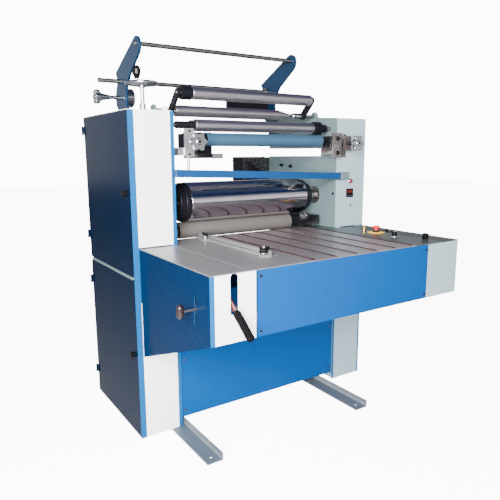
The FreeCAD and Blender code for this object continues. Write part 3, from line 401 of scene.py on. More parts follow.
BLACK_RUBBER = Finish("black_rubber", (0.0035, 0.003, 0.004), (0.008, 0.007, 0.007), Surface.SOFT,
                      rough=(0.5, 0.7), grain=500.0, relief=0.0002, dirt_and_sheen=0.4, fleck=0.3,
                      shine=0.02)
RED_BROWN = Finish("red_brown_enamel", (0.09, 0.008, 0.01), (0.04, 0.008, 0.01), Surface.ENAMEL,
                   rough=(0.3, 0.5), grain=200.0, coat=0.2, wear=0.7, dirt_and_sheen=0.5, fleck=0.3)
CREAM = Finish("cream_silicone", (0.08, 0.072, 0.068), (0.05, 0.045, 0.04), Surface.SOFT,
               rough=(0.42, 0.6), grain=240.0, dirt_and_sheen=0.4, fleck=0.1)
PALE_BLUE = Finish("pale_blue_silicone", (0.022, 0.06, 0.1), (0.035, 0.08, 0.12), Surface.SOFT,
                   rough=(0.34, 0.5), grain=300.0, dirt_and_sheen=0.3, fleck=0.1)
BELT_BROWN = Finish("belt_brown", (0.05, 0.026, 0.033), (0.025, 0.013, 0.018), Surface.WOVEN,
                    rough=(0.6, 0.8), grain=380.0, relief=0.0003, dirt_and_sheen=0.4, fleck=0.6,
                    shine=0.02)
KNOB_BROWN = Finish("knob_brown", (0.012, 0.006, 0.007), (0.02, 0.012, 0.012), Surface.MOULDED,
                    rough=(0.18, 0.32), grain=60.0, coat=0.4, dirt_and_sheen=0.4, fleck=0.4)
STOP_RED = Finish("stop_red", tone(206, 30, 30), tone(150, 22, 26), Surface.MOULDED,
                  rough=(0.22, 0.36), grain=800.0, coat=0.3)
STOP_YELLOW = Finish("stop_yellow", tone(232, 182, 40), tone(180, 130, 36), Surface.MOULDED,
                     rough=(0.34, 0.5), grain=700.0, dirt_and_sheen=0.4)
LAMP_RED = Finish("lamp_red", (0.16, 0.01, 0.03), (0.08, 0.006, 0.02), Surface.MOULDED,
                  rough=(0.08, 0.18), grain=200.0, coat=0.2, fleck=0.3)
BRASS = Finish("brass", tone(204, 164, 86), tone(130, 100, 50), Surface.BRUSHED,
               metallic=1.0, rough=(0.22, 0.38), grain=600.0, along="X", fleck=0.3)
MOTOR_GREY = Finish("motor_grey", tone(84, 96, 104), tone(58, 66, 72), Surface.CAST,
                    rough=(0.4, 0.6), grain=240.0, relief=0.0003, fleck=0.25, dirt_and_sheen=0.4)
DISPLAY = Finish("display_window", (0.012, 0.002, 0.003), (0.005, 0.001, 0.002), Surface.MOULDED,
                 rough=(0.06, 0.12), grain=300.0, coat=0.5)
DIGIT_RED = Finish("digit_red", (0.3, 0.03, 0.02), (0.2, 0.02, 0.02), Surface.MOULDED,
                   rough=(0.3, 0.4), grain=600.0)


# ------------------------------------------------------------------------------ modelling
class Axis(Enum):
    """One of the frame's axes, with the turn that brings a primitive's own axis to it."""

    X = (0.0, math.pi / 2, 0.0)
    Y = (-math.pi / 2, 0.0, 0.0)
    Z = (0.0, 0.0, 0.0)

    def vector(self) -> Vector:
        """The axis as a unit vector."""
        return Vector({"X": (1, 0, 0), "Y": (0, 1, 0), "Z": (0, 0, 1)}[self.name])

    def point(self, along: float, u: float, v: float) -> Vector:
        """A point from its place along the axis and its other two coordinates.

        Args:
            along: Coordinate on this axis.
            u: The first of the other two, in X, Y, Z order.
            v: The second.

        Returns:
            The point.
        """
        return Vector({"X": (along, u, v), "Y": (u, along, v), "Z": (u, v, along)}[self.name])


def deselect() -> None:
    """Leave nothing selected."""
    bpy.ops.object.select_all(action="DESELECT")


def activate(thing: bpy.types.Object) -> None:
    """Select one object alone and make it the active one."""
    deselect()
    thing.select_set(True)
    bpy.context.view_layer.objects.active = thing


def pick_faces(thing: bpy.types.Object, chosen: Callable[[bpy.types.MeshPolygon], bool]) -> int:
    """Select faces by a test, from edit mode, and stay in edit mode.

    Args:
        thing: The object being edited.
        chosen: Says whether a face is wanted.

    Returns:
        How many faces were selected.
    """
    bpy.ops.mesh.select_mode(type="FACE")
    bpy.ops.mesh.select_all(action="DESELECT")
    bpy.ops.object.mode_set(mode="OBJECT")
    count = 0
    for face in thing.data.polygons:
        face.select = chosen(face)
        count += face.select
    bpy.ops.object.mode_set(mode="EDIT")
    return count


def apply_modifiers(thing: bpy.types.Object) -> None:
    """Apply all of an object's modifiers in order."""
    activate(thing)
    for modifier in list(thing.modifiers):
        bpy.ops.object.modifier_apply(modifier=modifier.name)


def soften(thing: bpy.types.Object, width: float, segments: int = 2,
           angle: float = math.radians(32)) -> bpy.types.Object:
    """Round the sharp edges, smooth the faces and put the object's place in its mesh.

    Args:
        thing: The object.
        width: Width of the rounding in metres, or 0 for none.
        segments: Faces across the rounding.
        angle: Edges that turn by more than this are rounded.

    Returns:
        The object.
    """
    activate(thing)
    bpy.ops.object.transform_apply(location=True, rotation=True, scale=True)
    if width > 0:
        rounding = thing.modifiers.new("rounding", "BEVEL")
        rounding.width = width
        rounding.segments = segments
        rounding.limit_method = "ANGLE"
        rounding.angle_limit = angle
        rounding.use_clamp_overlap = True
        apply_modifiers(thing)
    bpy.ops.object.shade_smooth_by_angle(angle=math.radians(38))
    level = thing.modifiers.new("level", "WEIGHTED_NORMAL")
    level.keep_sharp = True
    level.weight = 90
    apply_modifiers(thing)
    return thing


def face_outwards(thing: bpy.types.Object) -> None:
    """Merge doubled points and turn every face outwards."""
    activate(thing)
    bpy.ops.object.mode_set(mode="EDIT")
    bpy.ops.mesh.select_all(action="SELECT")
    bpy.ops.mesh.remove_doubles(threshold=0.00001)
    bpy.ops.mesh.normals_make_consistent(inside=False)
    bpy.ops.object.mode_set(mode="OBJECT")


def paint(thing: bpy.types.Object, *finishes: Finish) -> None:
    """Give an object its finishes, in slot order."""
    thing.data.materials.clear()
    for finish in finishes:
        thing.data.materials.append(finish.material())


def join(name: str, pieces: Sequence[bpy.types.Object]) -> bpy.types.Object:
    """Join several objects into one, keeping their finishes.

    Args:
        name: The joined object's name.
        pieces: What to join.

    Returns:
        The joined object.
    """
    activate(pieces[0])
    for piece in pieces[1:]:
        piece.select_set(True)
    if len(pieces) > 1:
        bpy.ops.object.join()
    pieces[0].name = name
    return pieces[0]


def slab(low: Point, high: Point, finish: Finish, edge: float = 0.0008,
         segments: int = 2) -> bpy.types.Object:
    """A block with rounded edges.

    Args:
        low: Lowest corner in millimetres.
        high: Highest corner in millimetres.
        finish: Its finish.
        edge: Width of the rounding in metres.
        segments: Faces across the rounding.

    Returns:
        The block.
    """
    deselect()
    centre = [(a + b) / 2 * MM for a, b in zip(low, high)]
    bpy.ops.mesh.primitive_cube_add(size=1.0, location=centre)
    thing = bpy.context.object
    thing.scale = [(b - a) * MM for a, b in zip(low, high)]
    paint(thing, finish)
    return soften(thing, edge, segments)


def turning(axis: Axis, start: float, u: float, v: float,
            steps: Iterable[tuple[float, float, float]], finish: Finish, sides: int = 48,
            edge: float = 0.0006) -> bpy.types.Object:
    """A round piece turned in steps: each extrudes the end face and resizes it.

    Args:
        axis: Its axis.
        start: Where it starts on the axis, in millimetres.
        u: The first of its other two coordinates, in millimetres.
        v: The second.
        steps: Length, starting radius and ending radius of each step, in millimetres.
        finish: Its finish.
        sides: Faces round it.
        edge: Width of the rounding at its steps, in metres.

    Returns:
        The piece.
    """
    steps = list(steps)
    length, near, far = steps[0]
    middle = axis.point(start + length / 2, u, v) * MM
    deselect()
    bpy.ops.mesh.primitive_cone_add(vertices=sides, radius1=near * MM, radius2=far * MM,
                                    depth=length * MM, location=middle, rotation=axis.value,
                                    end_fill_type="NGON")
    thing = bpy.context.object
    bpy.ops.object.transform_apply(location=True, rotation=True, scale=True)
    bpy.ops.object.mode_set(mode="EDIT")
    at, radius = start + length, far
    direction = axis.vector()
    for length, near, far in steps[1:]:
        end = at
        pick_faces(thing, lambda face: abs(face.center.dot(direction) - end * MM) < 2e-5
                   and len(face.vertices) == sides)
        centre = axis.point(at, u, v) * MM
        if abs(near - radius) > 1e-6:
            bpy.ops.mesh.extrude_region_move()
            bpy.ops.transform.resize(value=(near / radius,) * 3, center_override=centre)
        bpy.ops.mesh.extrude_region_move(
            TRANSFORM_OT_translate={"value": direction * (length * MM)})
        at += length
        if abs(far - near) > 1e-6:
            bpy.ops.transform.resize(value=(far / near,) * 3,
                                     center_override=axis.point(at, u, v) * MM)
        radius = far
    bpy.ops.object.mode_set(mode="OBJECT")
    face_outwards(thing)
    paint(thing, finish)
    return soften(thing, edge, 2, math.radians(25))


def bore(thing: bpy.types.Object, axis: Axis, start: float, u: float, v: float, length: float,
         radius: float, sides: int = 32) -> None:
    """Cut a round hole through an object.

    Args:
        thing: The object.
        axis: The hole's axis.
        start: Where the hole starts, in millimetres.
        u: The first of its other two coordinates.
        v: The second.
        length: How deep it goes.
        radius: Its radius.
        sides: Faces round it.
    """
    deselect()
    bpy.ops.mesh.primitive_cylinder_add(vertices=sides, radius=radius * MM, depth=length * MM,
                                        location=axis.point(start + length / 2, u, v) * MM,
                                        rotation=axis.value)
    hollow(thing, bpy.context.object)


def lobes(core: float, reach: float, rounding: float, count: int) -> list[float]:
    """Radii round one lobe of a star wheel, starting at its tip.

    Args:
        core: Radius between the lobes.
        reach: How far out the lobe's own centre is.
        rounding: The lobe's own radius.
        count: How many rim points one lobe of six has.

    Returns:
        The radii.
    """
    radii = []
    for index in range(count):
        angle = math.tau * min(index, count - index) / count / 6
        across = reach * math.sin(angle)
        out = core
        if across < rounding:
            out = max(core, reach * math.cos(angle) + math.sqrt(rounding ** 2 - across ** 2))
        radii.append(out)
    return radii


def shaped_disc(axis: Axis, start: float, u: float, v: float, thick: float,
                profile: Sequence[float], count: int, finish: Finish,
                edge: float) -> bpy.types.Object:
    """A disc whose rim repeats a profile: groups of rim points are moved inwards together.

    Args:
        axis: Its axis.
        start: Where it starts on the axis, in millimetres.
        u: The first of its other two coordinates.
        v: The second.
        thick: Its thickness.
        profile: Radii of the rim points of one repeat.
        count: How many times the profile repeats round the rim.
        finish: Its finish.
        edge: Width of the rounding in metres.

    Returns:
        The disc.
    """
    sides = len(profile) * count
    widest = max(profile)
    centre = axis.point(start + thick / 2, u, v) * MM
    deselect()
    bpy.ops.mesh.primitive_cylinder_add(vertices=sides, radius=widest * MM, depth=thick * MM,
                                        location=centre, rotation=axis.value)
    thing = bpy.context.object
    bpy.ops.object.transform_apply(location=True, rotation=True, scale=True)
    first, second = [index for index in range(3) if "XYZ"[index] != axis.name]
    for radius in sorted(set(profile)):
        if radius == widest:
            continue
        bpy.ops.object.mode_set(mode="EDIT")
        bpy.ops.mesh.select_mode(type="VERT")
        bpy.ops.mesh.select_all(action="DESELECT")
        bpy.ops.object.mode_set(mode="OBJECT")
        for point in thing.data.vertices:
            away = point.co - centre
            turn = math.atan2(away[second], away[first]) / math.tau * sides
            point.select = profile[round(turn) % len(profile)] == radius
        bpy.ops.object.mode_set(mode="EDIT")
        share = radius / widest
        bpy.ops.transform.resize(value=[1.0 if letter == axis.name else share for letter in "XYZ"],
                                 center_override=centre)
        bpy.ops.object.mode_set(mode="OBJECT")
    face_outwards(thing)
    paint(thing, finish)
    return soften(thing, edge, 3, math.radians(40))


def hollow(thing: bpy.types.Object, tool: bpy.types.Object) -> None:
    """Cut one object out of another and remove the tool."""
    carve = thing.modifiers.new("hollow", "BOOLEAN")
    carve.object = tool
    carve.operation = "DIFFERENCE"
    apply_modifiers(thing)
    bpy.data.objects.remove(tool)


def recolour(thing: bpy.types.Object, extra: Sequence[Finish],
             region: Callable[[Vector, Vector], int]) -> None:
    """Add finishes to an object and say which faces have them.

    Args:
        thing: The object.
        extra: Finishes added after its own.
        region: Gives a face's finish from its centre in millimetres and its normal.
    """
    for finish in extra:
        thing.data.materials.append(finish.material())
    for face in thing.data.polygons:
        face.material_index = region(face.center / MM, face.normal)


def copies_round(thing: bpy.types.Object, axis: Axis, centre: Vector,
                 count: int) -> list[bpy.types.Object]:
    """Copy an object evenly round an axis, each copy with its own mesh.

    Args:
        thing: The first of them.
        axis: The axis to go round.
        centre: A point on it, in metres.
        count: How many there are in all.

    Returns:
        All of them.
    """
    made = [thing]
    for index in range(1, count):
        activate(thing)
        bpy.ops.object.duplicate()
        extra = bpy.context.object
        turn = axis_turn(axis, math.tau * index / count, centre)
        extra.data.transform(turn)
        made.append(extra)
    return made


def axis_turn(axis: Axis, angle: float, centre: Vector) -> Matrix:
    """The turn about an axis through a point.

    Args:
        axis: The axis.
        angle: The angle in radians.
        centre: A point on the axis, in metres.

    Returns:
        The matrix.
    """
    move = Matrix.Translation(centre)
    return move @ Matrix.Rotation(angle, 4, axis.name) @ move.inverted()


def rework(node: str, edge: float, finishes: Sequence[Finish],
           region: Callable[[Vector, Vector], int] | None = None,
           seams: Sequence[tuple[Axis, float]] = ()) -> bpy.types.Object:
    """A finished copy of a frame node: merged, flattened, with rounded edges.

    Args:
        node: The node's name.
        edge: Width of the rounding in metres.
        finishes: Its finishes.
        region: Gives a face's finish from its centre in millimetres and its normal.
        seams: Axes and places in millimetres where its faces are divided.

    Returns:
        The piece, which stands for the node.
    """
    source = bpy.data.objects[node]
    thing = bpy.data.objects.new(f"{node}_finished", source.data.copy())
    bpy.context.scene.collection.objects.link(thing)
    activate(thing)
    bpy.ops.object.mode_set(mode="EDIT")
    bpy.ops.mesh.select_all(action="SELECT")
    bpy.ops.mesh.remove_doubles(threshold=0.000002)
    bpy.ops.mesh.dissolve_limited(angle_limit=math.radians(0.5))
    for axis, place in seams:
        bpy.ops.mesh.select_all(action="SELECT")
        bpy.ops.mesh.bisect(plane_co=axis.vector() * place * MM, plane_no=axis.vector())
    bpy.ops.object.mode_set(mode="OBJECT")
    paint(thing, *finishes)
    for face in thing.data.polygons:
        face.material_index = region(face.center / MM, face.normal) if region else 0
    soften(thing, edge)
    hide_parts(node)
    return thing


# ------------------------------------------------------------------------------ assemblies
class Assembly:
    """A group of pieces that are made and put on their bodies together."""

    def put(self, thing: bpy.types.Object, name: str, body: str, slot: str,
            *nodes: str) -> bpy.types.Object:
        """Name a piece, put it on its body and say what it stands for.

        Args:
            thing: The piece.
            name: Its name.
            body: The body it rides on.
            slot: The record's slot for its finish; not used.
            nodes: Frame nodes it stands for.

        Returns:
            The piece.
        """
        thing.name = name
        thing.data.name = name
        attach(thing, body)
        if nodes:
            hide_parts(*nodes)
        LOG.info("%s: %d faces on %s", name, len(thing.data.polygons), body)
        return thing

    def refine(self, node: str, body: str, slot: str, edge: float, finishes: Sequence[Finish],
               region: Callable[[Vector, Vector], int] | None = None,
               seams: Sequence[tuple[Axis, float]] = ()) -> bpy.types.Object:
        """Put a finished copy of a frame node on its body.

        Args:
            node: The node.
            body: Its body.
            slot: Its slot.
            edge: Width of the rounding in metres.
            finishes: Its finishes.
            region: Gives each face's finish.
            seams: Where its faces are divided.

        Returns:
            The piece.
        """
        thing = rework(node, edge, finishes, region, seams)
        return self.put(thing, f"{node}_finished", body, slot)


@dataclass
class Cabinets(Assembly):
    """The two cabinets, their skins and the left-hand doors."""

    edge: float = 0.0012
    front_skin: float = -306.5
    ledge_low: float = 738.0
    ledge_high: float = 757.0
    ledge_inside: float = -650.0
    bar_end: float = 474.5
    cover_top: float = 1456.5
    slot_low: float = 1259.0
    slot_high: float = 1310.0
    cover_outside: float = 674.0

    def make(self) -> None:
        """Make every piece."""
        self.refine("base_feet", "machine", "foot_grey", 0.0015, [FOOT_GREY])
        # Faces of the left frame off the front skin and the ledge get the blue darkened as painted
        # shade.
        self.refine("left_frame", "machine", "frame_blue", 0.0006,
                    [STRIP_BLUE, SEA_GREY, SHADED_SIDE_BLUE], self.left_region)
        # Apart from its low front, the right frame gets the white darkened as painted shade.
        self.refine("right_frame", "machine", "frame_blue", 0.0006, [STRIP_BLUE, SHADED_COOL_WHITE],
                    lambda at, _: 0 if at.y < -286 and at.z < 645 else 1)
        self.refine("side_plates", "machine", "plate_grey", self.edge, [SEA_GREY])
        # White panels on the right (x > 0) get the white darkened as painted shade.
        self.refine("white_panels", "machine", "panel_white", 0.0006, [WHITE, SHADED_COOL_WHITE],
                    lambda at, _: 1 if at.x > 0 else 0)
        self.refine("blue_panels", "machine", "panel_blue", 0.0006, [SKY_BLUE])
        # Below their top and outside the slot band, the covers get the blue darkened as painted
        # shade.
        self.refine("cabinet_covers", "machine", "cover_grey", 0.0006,
                    [WHITE, SEA_GREY, SHADED_SIDE_BLUE], self.cover_region)
        self.refine("crossbar", "machine", "panel_blue", 0.003, [BAR_BLUE, SEA_GREY],
                    lambda at, _: 1 if at.x > self.bar_end else 0)
        # The doors get the blue darkened further as painted shade.
        for node, body in (("left_upper_door", "upper_door"), ("left_lower_door", "lower_door")):
            self.refine(node, body, "door_blue", 0.0016, [SHADED_DOOR_BLUE])
        for node, body in (("upper_door_latch", "upper_latch"),
                           ("lower_door_latch", "lower_latch")):
            self.refine(node, body, "black_plastic", 0.0015, [BLACK_PLASTIC])

    def left_region(self, at: Vector, normal: Vector) -> int:
        """Finish of a face of the left-hand frame: strip blue at the front skin, sea grey at the
        ledge, and elsewhere the blue darkened as painted shade.
        """
        if at.y < self.front_skin:
            return 0
        if self.ledge_low < at.z < self.ledge_high and at.x < self.ledge_inside:
            return 1
        return 2

    def cover_region(self, at: Vector, normal: Vector) -> int:
        """Finish of a face of the covers: white on top, sea grey in the slot band, and elsewhere
        the blue darkened as painted shade.
        """
        if at.z > self.cover_top:
            return 0
        if self.slot_low < at.z < self.slot_high and at.x < self.cover_outside:
            return 1
        return 2


@dataclass
class Fasteners(Assembly):
    """Screws, glands and other small fittings of the panels."""

    kick: float = -302.0
    table: float = -924.0

    def make(self) -> None:
        """Make every piece."""
        heads = [self.head(x, self.table, z) for x in (-442.0, 452.0) for z in (650.0, 853.0)]
        heads += [self.head(x, self.kick, z)
                  for x in (-450.0, 450.0) for z in (80.0, 330.0, 600.0)]
        glands = [self.gland(173.0, 1209.0), self.gland(84.0, 1204.0)]
        plug = turning(Axis.X, 465.0, -287.0, 1064.0, [(3, 5, 7), (2, 7, 7)], BLACK_PLASTIC, 32)
        cap = turning(Axis.Z, 1460.0, -497.0, -285.0,
                      [(3, 13, 13), (9, 11.5, 11.5), (4, 11.5, 10), (3, 10, 7), (1, 7, 5)],
                      WHITE, 48)
        everything = join("panel_screws", [*heads, *glands, plug, cap])
        self.put(everything, "panel_screws", "machine", "black_plastic", "panel_fittings")

    def head(self, x: float, y: float, z: float) -> bpy.types.Object:
        """A socket-head screw on a washer, facing the front."""
        washer = turning(Axis.Y, y - 0.8, x, z, [(0.8, 6.5, 6.5)], STEEL, 32, 0.0002)
        button = turning(Axis.Y, y - 3.2, x, z, [(1.2, 3.4, 4.8), (1.2, 4.8, 5.0)], BLACK_METAL,
                         32, 0.0003)
        bore(button, Axis.Y, y - 4.0, x, z, 1.8, 2.0, 6)
        return join("screw", [washer, button])

    def gland(self, y: float, z: float) -> bpy.types.Object:
        """A cable gland on the inner face of the right-hand cabinet."""
        nut = turning(Axis.X, 464.0, y, z, [(6, 11, 11)], BLACK_PLASTIC, 6, 0.0008)
        neck = turning(Axis.X, 455.0, y, z, [(2, 6.5, 8), (7, 8, 8)], BLACK_PLASTIC, 32)
        return join("gland", [nut, neck])


@dataclass
class Nip(Assembly):
    """The heated drum, its shaft and drive, and the pressure roller with its yoke and cams."""

    drum_y: float = -130.0
    drum_z: float = 1050.0
    low_z: float = 914.7

    def make(self) -> None:
        """Make every piece."""
        drum = self.round_x(-345.0, [(2, 93, 95), (686, 95, 95), (2, 95, 93)], CHROME, 160)
        self.put(drum, "drum_shell", "drum", "chrome", "heated_drum")
        self.shaft()
        self.bearings()
        self.drive()
        roller = turning(Axis.X, -428.0, self.drum_y, self.low_z,
                         [(2, 13, 15), (41, 15, 15), (3, 38, 40), (664, 40, 40), (3, 40, 38),
                          (113, 15, 15), (2, 15, 13)], CREAM, 96)
        recolour(roller, [STEEL], lambda at, _: 1 if abs(at.x + 50) > 334.5 else 0)
        self.put(roller, "lower_roller", "pressure_roller", "cream_rubber", "pressure_roller")
        self.refine("pressure_yoke", "yoke", "black_metal", 0.002, [BLACK_METAL])
        bolts = [turning(Axis.Y, -230.0, x, 951.0, [(4, 6, 6)], PLATE_STEEL, 6)
                 for x in (306.0, 334.0)]
        bolts += [turning(Axis.Y, -164.0, x, 795.0, [(4, 7, 7)], PLATE_STEEL, 6)
                  for x in (-415.0, 415.0)]
        self.put(join("yoke_bolts", bolts), "yoke_bolts", "yoke", "machined")
        self.refine("cam_shaft", "cams", "shaft_steel", 0.001, [STEEL])
        self.refine("pressure_link", "link", "shaft_steel", 0.001, [STEEL])

    def round_x(self, start: float, steps: list[tuple[float, float, float]], finish: Finish,
                sides: int = 96, edge: float = 0.0006) -> bpy.types.Object:
        """A turned piece on the drum's axis."""
        return turning(Axis.X, start, self.drum_y, self.drum_z, steps, finish, sides, edge)

    def shaft(self) -> None:
        """The drum's shaft with its black collars, their bolts and the sprocket."""
        bar = self.round_x(-560.0, [(2, 23, 25), (158, 25, 25)], STEEL, 64)
        stub = self.round_x(400.0, [(143, 25, 25), (2, 25, 23)], STEEL, 64)
        left = self.round_x(-400.0, [(6, 82, 86), (22, 86, 86), (4, 92, 94), (22.6, 94, 94)],
                            BLACK_METAL)
        right = self.round_x(345.4, [(20, 88, 88), (6, 88, 80), (4, 76, 76), (20, 70, 70),
                                     (4.6, 64, 58)], BLACK_METAL)
        rim = self.round_x(369.0, [(3, 84, 84)], MARGIN_GREY)
        centre = Axis.X.point(0, self.drum_y, self.drum_z) * MM
        near = turning(Axis.X, -404.0, self.drum_y + 56, self.drum_z, [(5, 6.5, 6.5)], STEEL, 24)
        ring = copies_round(near, Axis.X, centre, 6)
        far = turning(Axis.X, 399.0, self.drum_y + 44, self.drum_z, [(5, 5, 5)], STEEL, 24)
        far_ring = copies_round(far, Axis.X, centre, 6)
        sprocket = shaped_disc(Axis.X, -540.0, self.drum_y, self.drum_z, 12.0,
                               [90.0, 88.0, 81.0, 79.0, 81.0, 88.0], 40, STEEL, 0.0004)
        hub = self.round_x(-528.0, [(14, 40, 40)], STEEL, 64)
        whole = join("drum_collars",
                     [bar, stub, left, right, rim, *ring, *far_ring, sprocket, hub])
        self.put(whole, "drum_collars", "drum", "shaft_steel", "drum_shaft")

    def bearings(self) -> None:
        """Flanged bearings with four bolts each."""
        pieces = []
        for start, bolt_at in ((-482.0, -471.0), (466.0, 461.5)):
            flange = self.round_x(start, [(16, 48, 48)], STEEL, 64, 0.001)
            bore(flange, Axis.X, start - 1, self.drum_y, self.drum_z, 18, 25.6, 64)
            first = turning(Axis.X, bolt_at, self.drum_y + 36.5, self.drum_z, [(9.6, 4.5, 4.5)],
                            BLACK_METAL, 6, 0.0005)
            centre = Axis.X.point(0, self.drum_y, self.drum_z) * MM
            pieces += [flange, *copies_round(first, Axis.X, centre, 4)]
        self.put(join("bearings", pieces), "bearings", "machine", "machined", "drum_bearings")

    def drive(self) -> None:
        """The gear motor inside the left-hand cabinet, with cooling fins."""
        gearbox = slab((-600, -90, 790), (-500, 10, 900), MOTOR_GREY, 0.006, 4)
        foot = slab((-500, -80, 800), (-482, 0, 890), MOTOR_GREY, 0.002)
        fins = [(8.0, 50.0, 50.0)]
        for _ in range(14):
            fins += [(6.0, 45.0, 45.0), (4.0, 52.0, 52.0)]
        fins += [(22.0, 50.0, 50.0), (16.0, 50.0, 44.0)]
        body = turning(Axis.Y, 10.0, -550.0, 845.0, fins, MOTOR_GREY, 64, 0.0005)
        hub = turning(Axis.X, -540.0, -40.0, 920.0, [(40, 34, 34)], MOTOR_GREY, 48, 0.001)
        cover = turning(Axis.X, -603.0, -40.0, 845.0, [(3, 30, 32)], STEEL, 48)
        box = slab((-585, 70, 896), (-515, 140, 916), MOTOR_GREY, 0.003, 3)
        whole = join("gear_motor", [gearbox, foot, body, hub, cover, box])
        self.put(whole, "gear_motor", "machine", "motor_grey", "drive_motor")


@dataclass
class Table(Assembly):
    """The feed table with its belts, side guide and levers."""

    top: float = 880.0
    clamp_x: float = -316.0
    front_clamp_y: float = -760.0
    rear_clamp_y: float = -285.0
    lever_x: float = -552.0
    lever_y: float = -800.0
    lever_z: float = 846.0
    lever_lean: float = 37.5
    grip_end: float = -1091.0

    def make(self) -> None:
        """Make every piece."""
        self.refine("table_frame", "machine", "foot_grey", 0.001, [FOOT_GREY, BLACK_METAL],
                    lambda at, _: 1 if at.x < -615 else 0)
        self.refine("table_left_plates", "machine", "plate_grey", 0.0012, [TABLE_GREY])
        self.refine("table_centre_plate", "machine", "table_plate", 0.001, [TABLE_STEEL])
        self.refine("control_plate", "machine", "table_plate", 0.0012, [CONTROL_GREY, MARGIN_GREY],
                    lambda at, _: 1 if at.x > 560 else 0, ((Axis.X, 560.0),))
        # The table's side panels get the blue darkened as painted shade; their fronts and the strip
        # stay strip blue.
        self.refine("table_side_panels", "machine", "frame_blue", 0.0008, [SHADED_SIDE_BLUE, STRIP_BLUE],
                    lambda at, _: 1 if at.y < -921.5 or (at.x < -634 and at.x > -647.5) else 0)
        self.refine("feed_belts", "machine", "belt_brown", 0.0003, [BELT_BROWN])
        for node, body in (("belt_front_roller", "belt_front"), ("belt_rear_roller", "belt_rear")):
            self.refine(node, body, "shaft_steel", 0.0006, [STEEL])
        self.guide()
        self.lever()
        self.side_lever()

    def guide(self) -> None:
        """The side guide with its black stop and its two clamping screws."""
        self.refine("side_guide", "side_guide", "machined", 0.001, [TABLE_GREY, BLACK_PLASTIC],
                    lambda at, _: 1 if (-287 < at.x and at.y < -700) else 0)
        stem = self.upright(874.0, self.front_clamp_y,
                            [(5.5, 7, 8), (15, 4, 4), (3, 12, 12), (3, 12, 10.5)],
                            PLATE_STEEL, 32)
        grip = shaped_disc(Axis.Z, 899.0, self.clamp_x, self.front_clamp_y, 18.0,
                           [17.0, 16.2, 15.4, 16.2], 18, BLACK_PLASTIC, 0.0012)
        crown = self.upright(916.0, self.front_clamp_y, [(3, 14.5, 13.5), (1, 13.5, 12)],
                             BLACK_PLASTIC, 48)
        nut = self.upright(919.0, self.front_clamp_y, [(4, 6.5, 6.5)], PLATE_STEEL, 6)
        front = join("front_clamp", [stem, grip, crown, nut])
        self.put(front, "front_clamp", "guide_screw_front", "black_plastic", "guide_screw_front")
        stem = self.upright(874.0, self.rear_clamp_y,
                            [(5.5, 7, 8), (15, 4, 4), (6, 8, 8), (8, 5, 5)], PLATE_STEEL, 32)
        boss = self.upright(903.0, self.rear_clamp_y, [(6, 7, 8), (8, 8, 8)], BLACK_PLASTIC, 32)
        wing = slab((-320.5, -309, 906), (-311.5, -261, 918), BLACK_PLASTIC, 0.004, 4)
        rear = join("rear_clamp", [stem, boss, wing])
        self.put(rear, "rear_clamp", "guide_screw_rear", "black_plastic", "guide_screw_rear")

    def upright(self, start: float, y: float, steps: list[tuple[float, float, float]],
                finish: Finish, sides: int) -> bpy.types.Object:
        """A turned piece on a clamping screw's axis."""
        return turning(Axis.Z, start, self.clamp_x, y, steps, finish, sides)

    def lever(self) -> None:
        """The pressure lever and its ribbed grip."""
        self.refine("pressure_lever", "lever", "shaft_steel", 0.001, [STEEL, RED_BROWN],
                    lambda at, _: 1 if at.y < -812 else 0)
        ribs = [(6.0, 9.0, 11.5), (5.0, 12.5, 14.0)]
        for _ in range(11):
            ribs += [(7.0, 14.0, 14.0), (1.6, 12.6, 12.6)]
        ribs += [(11.0, 14.0, 14.0), (5.0, 14.0, 11.5), (3.4, 11.5, 7.0)]
        grip = turning(Axis.Y, self.grip_end, self.lever_x, self.lever_z,
                       [(length, far, near) for length, near, far in reversed(ribs)],
                       BLACK_RUBBER, 48, 0.0004)
        pivot = Vector((self.lever_x, self.lever_y, self.lever_z)) * MM
        grip.data.transform(axis_turn(Axis.X, math.radians(self.lever_lean), pivot))
        self.put(grip, "ribbed_grip", "lever", "black_rubber", "lever_grip")

    def side_lever(self) -> None:
        """The short lever at the table's left side: a steel rod with a round-ended brown knob."""
        bar = turning(Axis.X, -700.0, -815.0, 740.0,
                      [(2, 4, 5), (8, 8, 8), (4, 8, 5.5), (46, 5, 5)], STEEL, 32)
        knob = turning(Axis.Z, 714.0, -707.0, -815.0,
                       [(1.2, 3, 6.5), (2.6, 6.5, 10), (4.2, 10, 13), (6, 13, 14), (24, 14, 14),
                        (6, 14, 13), (4.2, 13, 10), (2.6, 10, 6.5), (1.2, 6.5, 3)],
                       KNOB_BROWN, 48, 0.0)
        plate = slab((-645.5, -821.9, 725), (-636, -808.1, 755), BLACK_METAL, 0.0015)
        whole = join("side_handle", [bar, knob, plate])
        self.put(whole, "side_handle", "side_lever", "grip_brown", "side_lever")


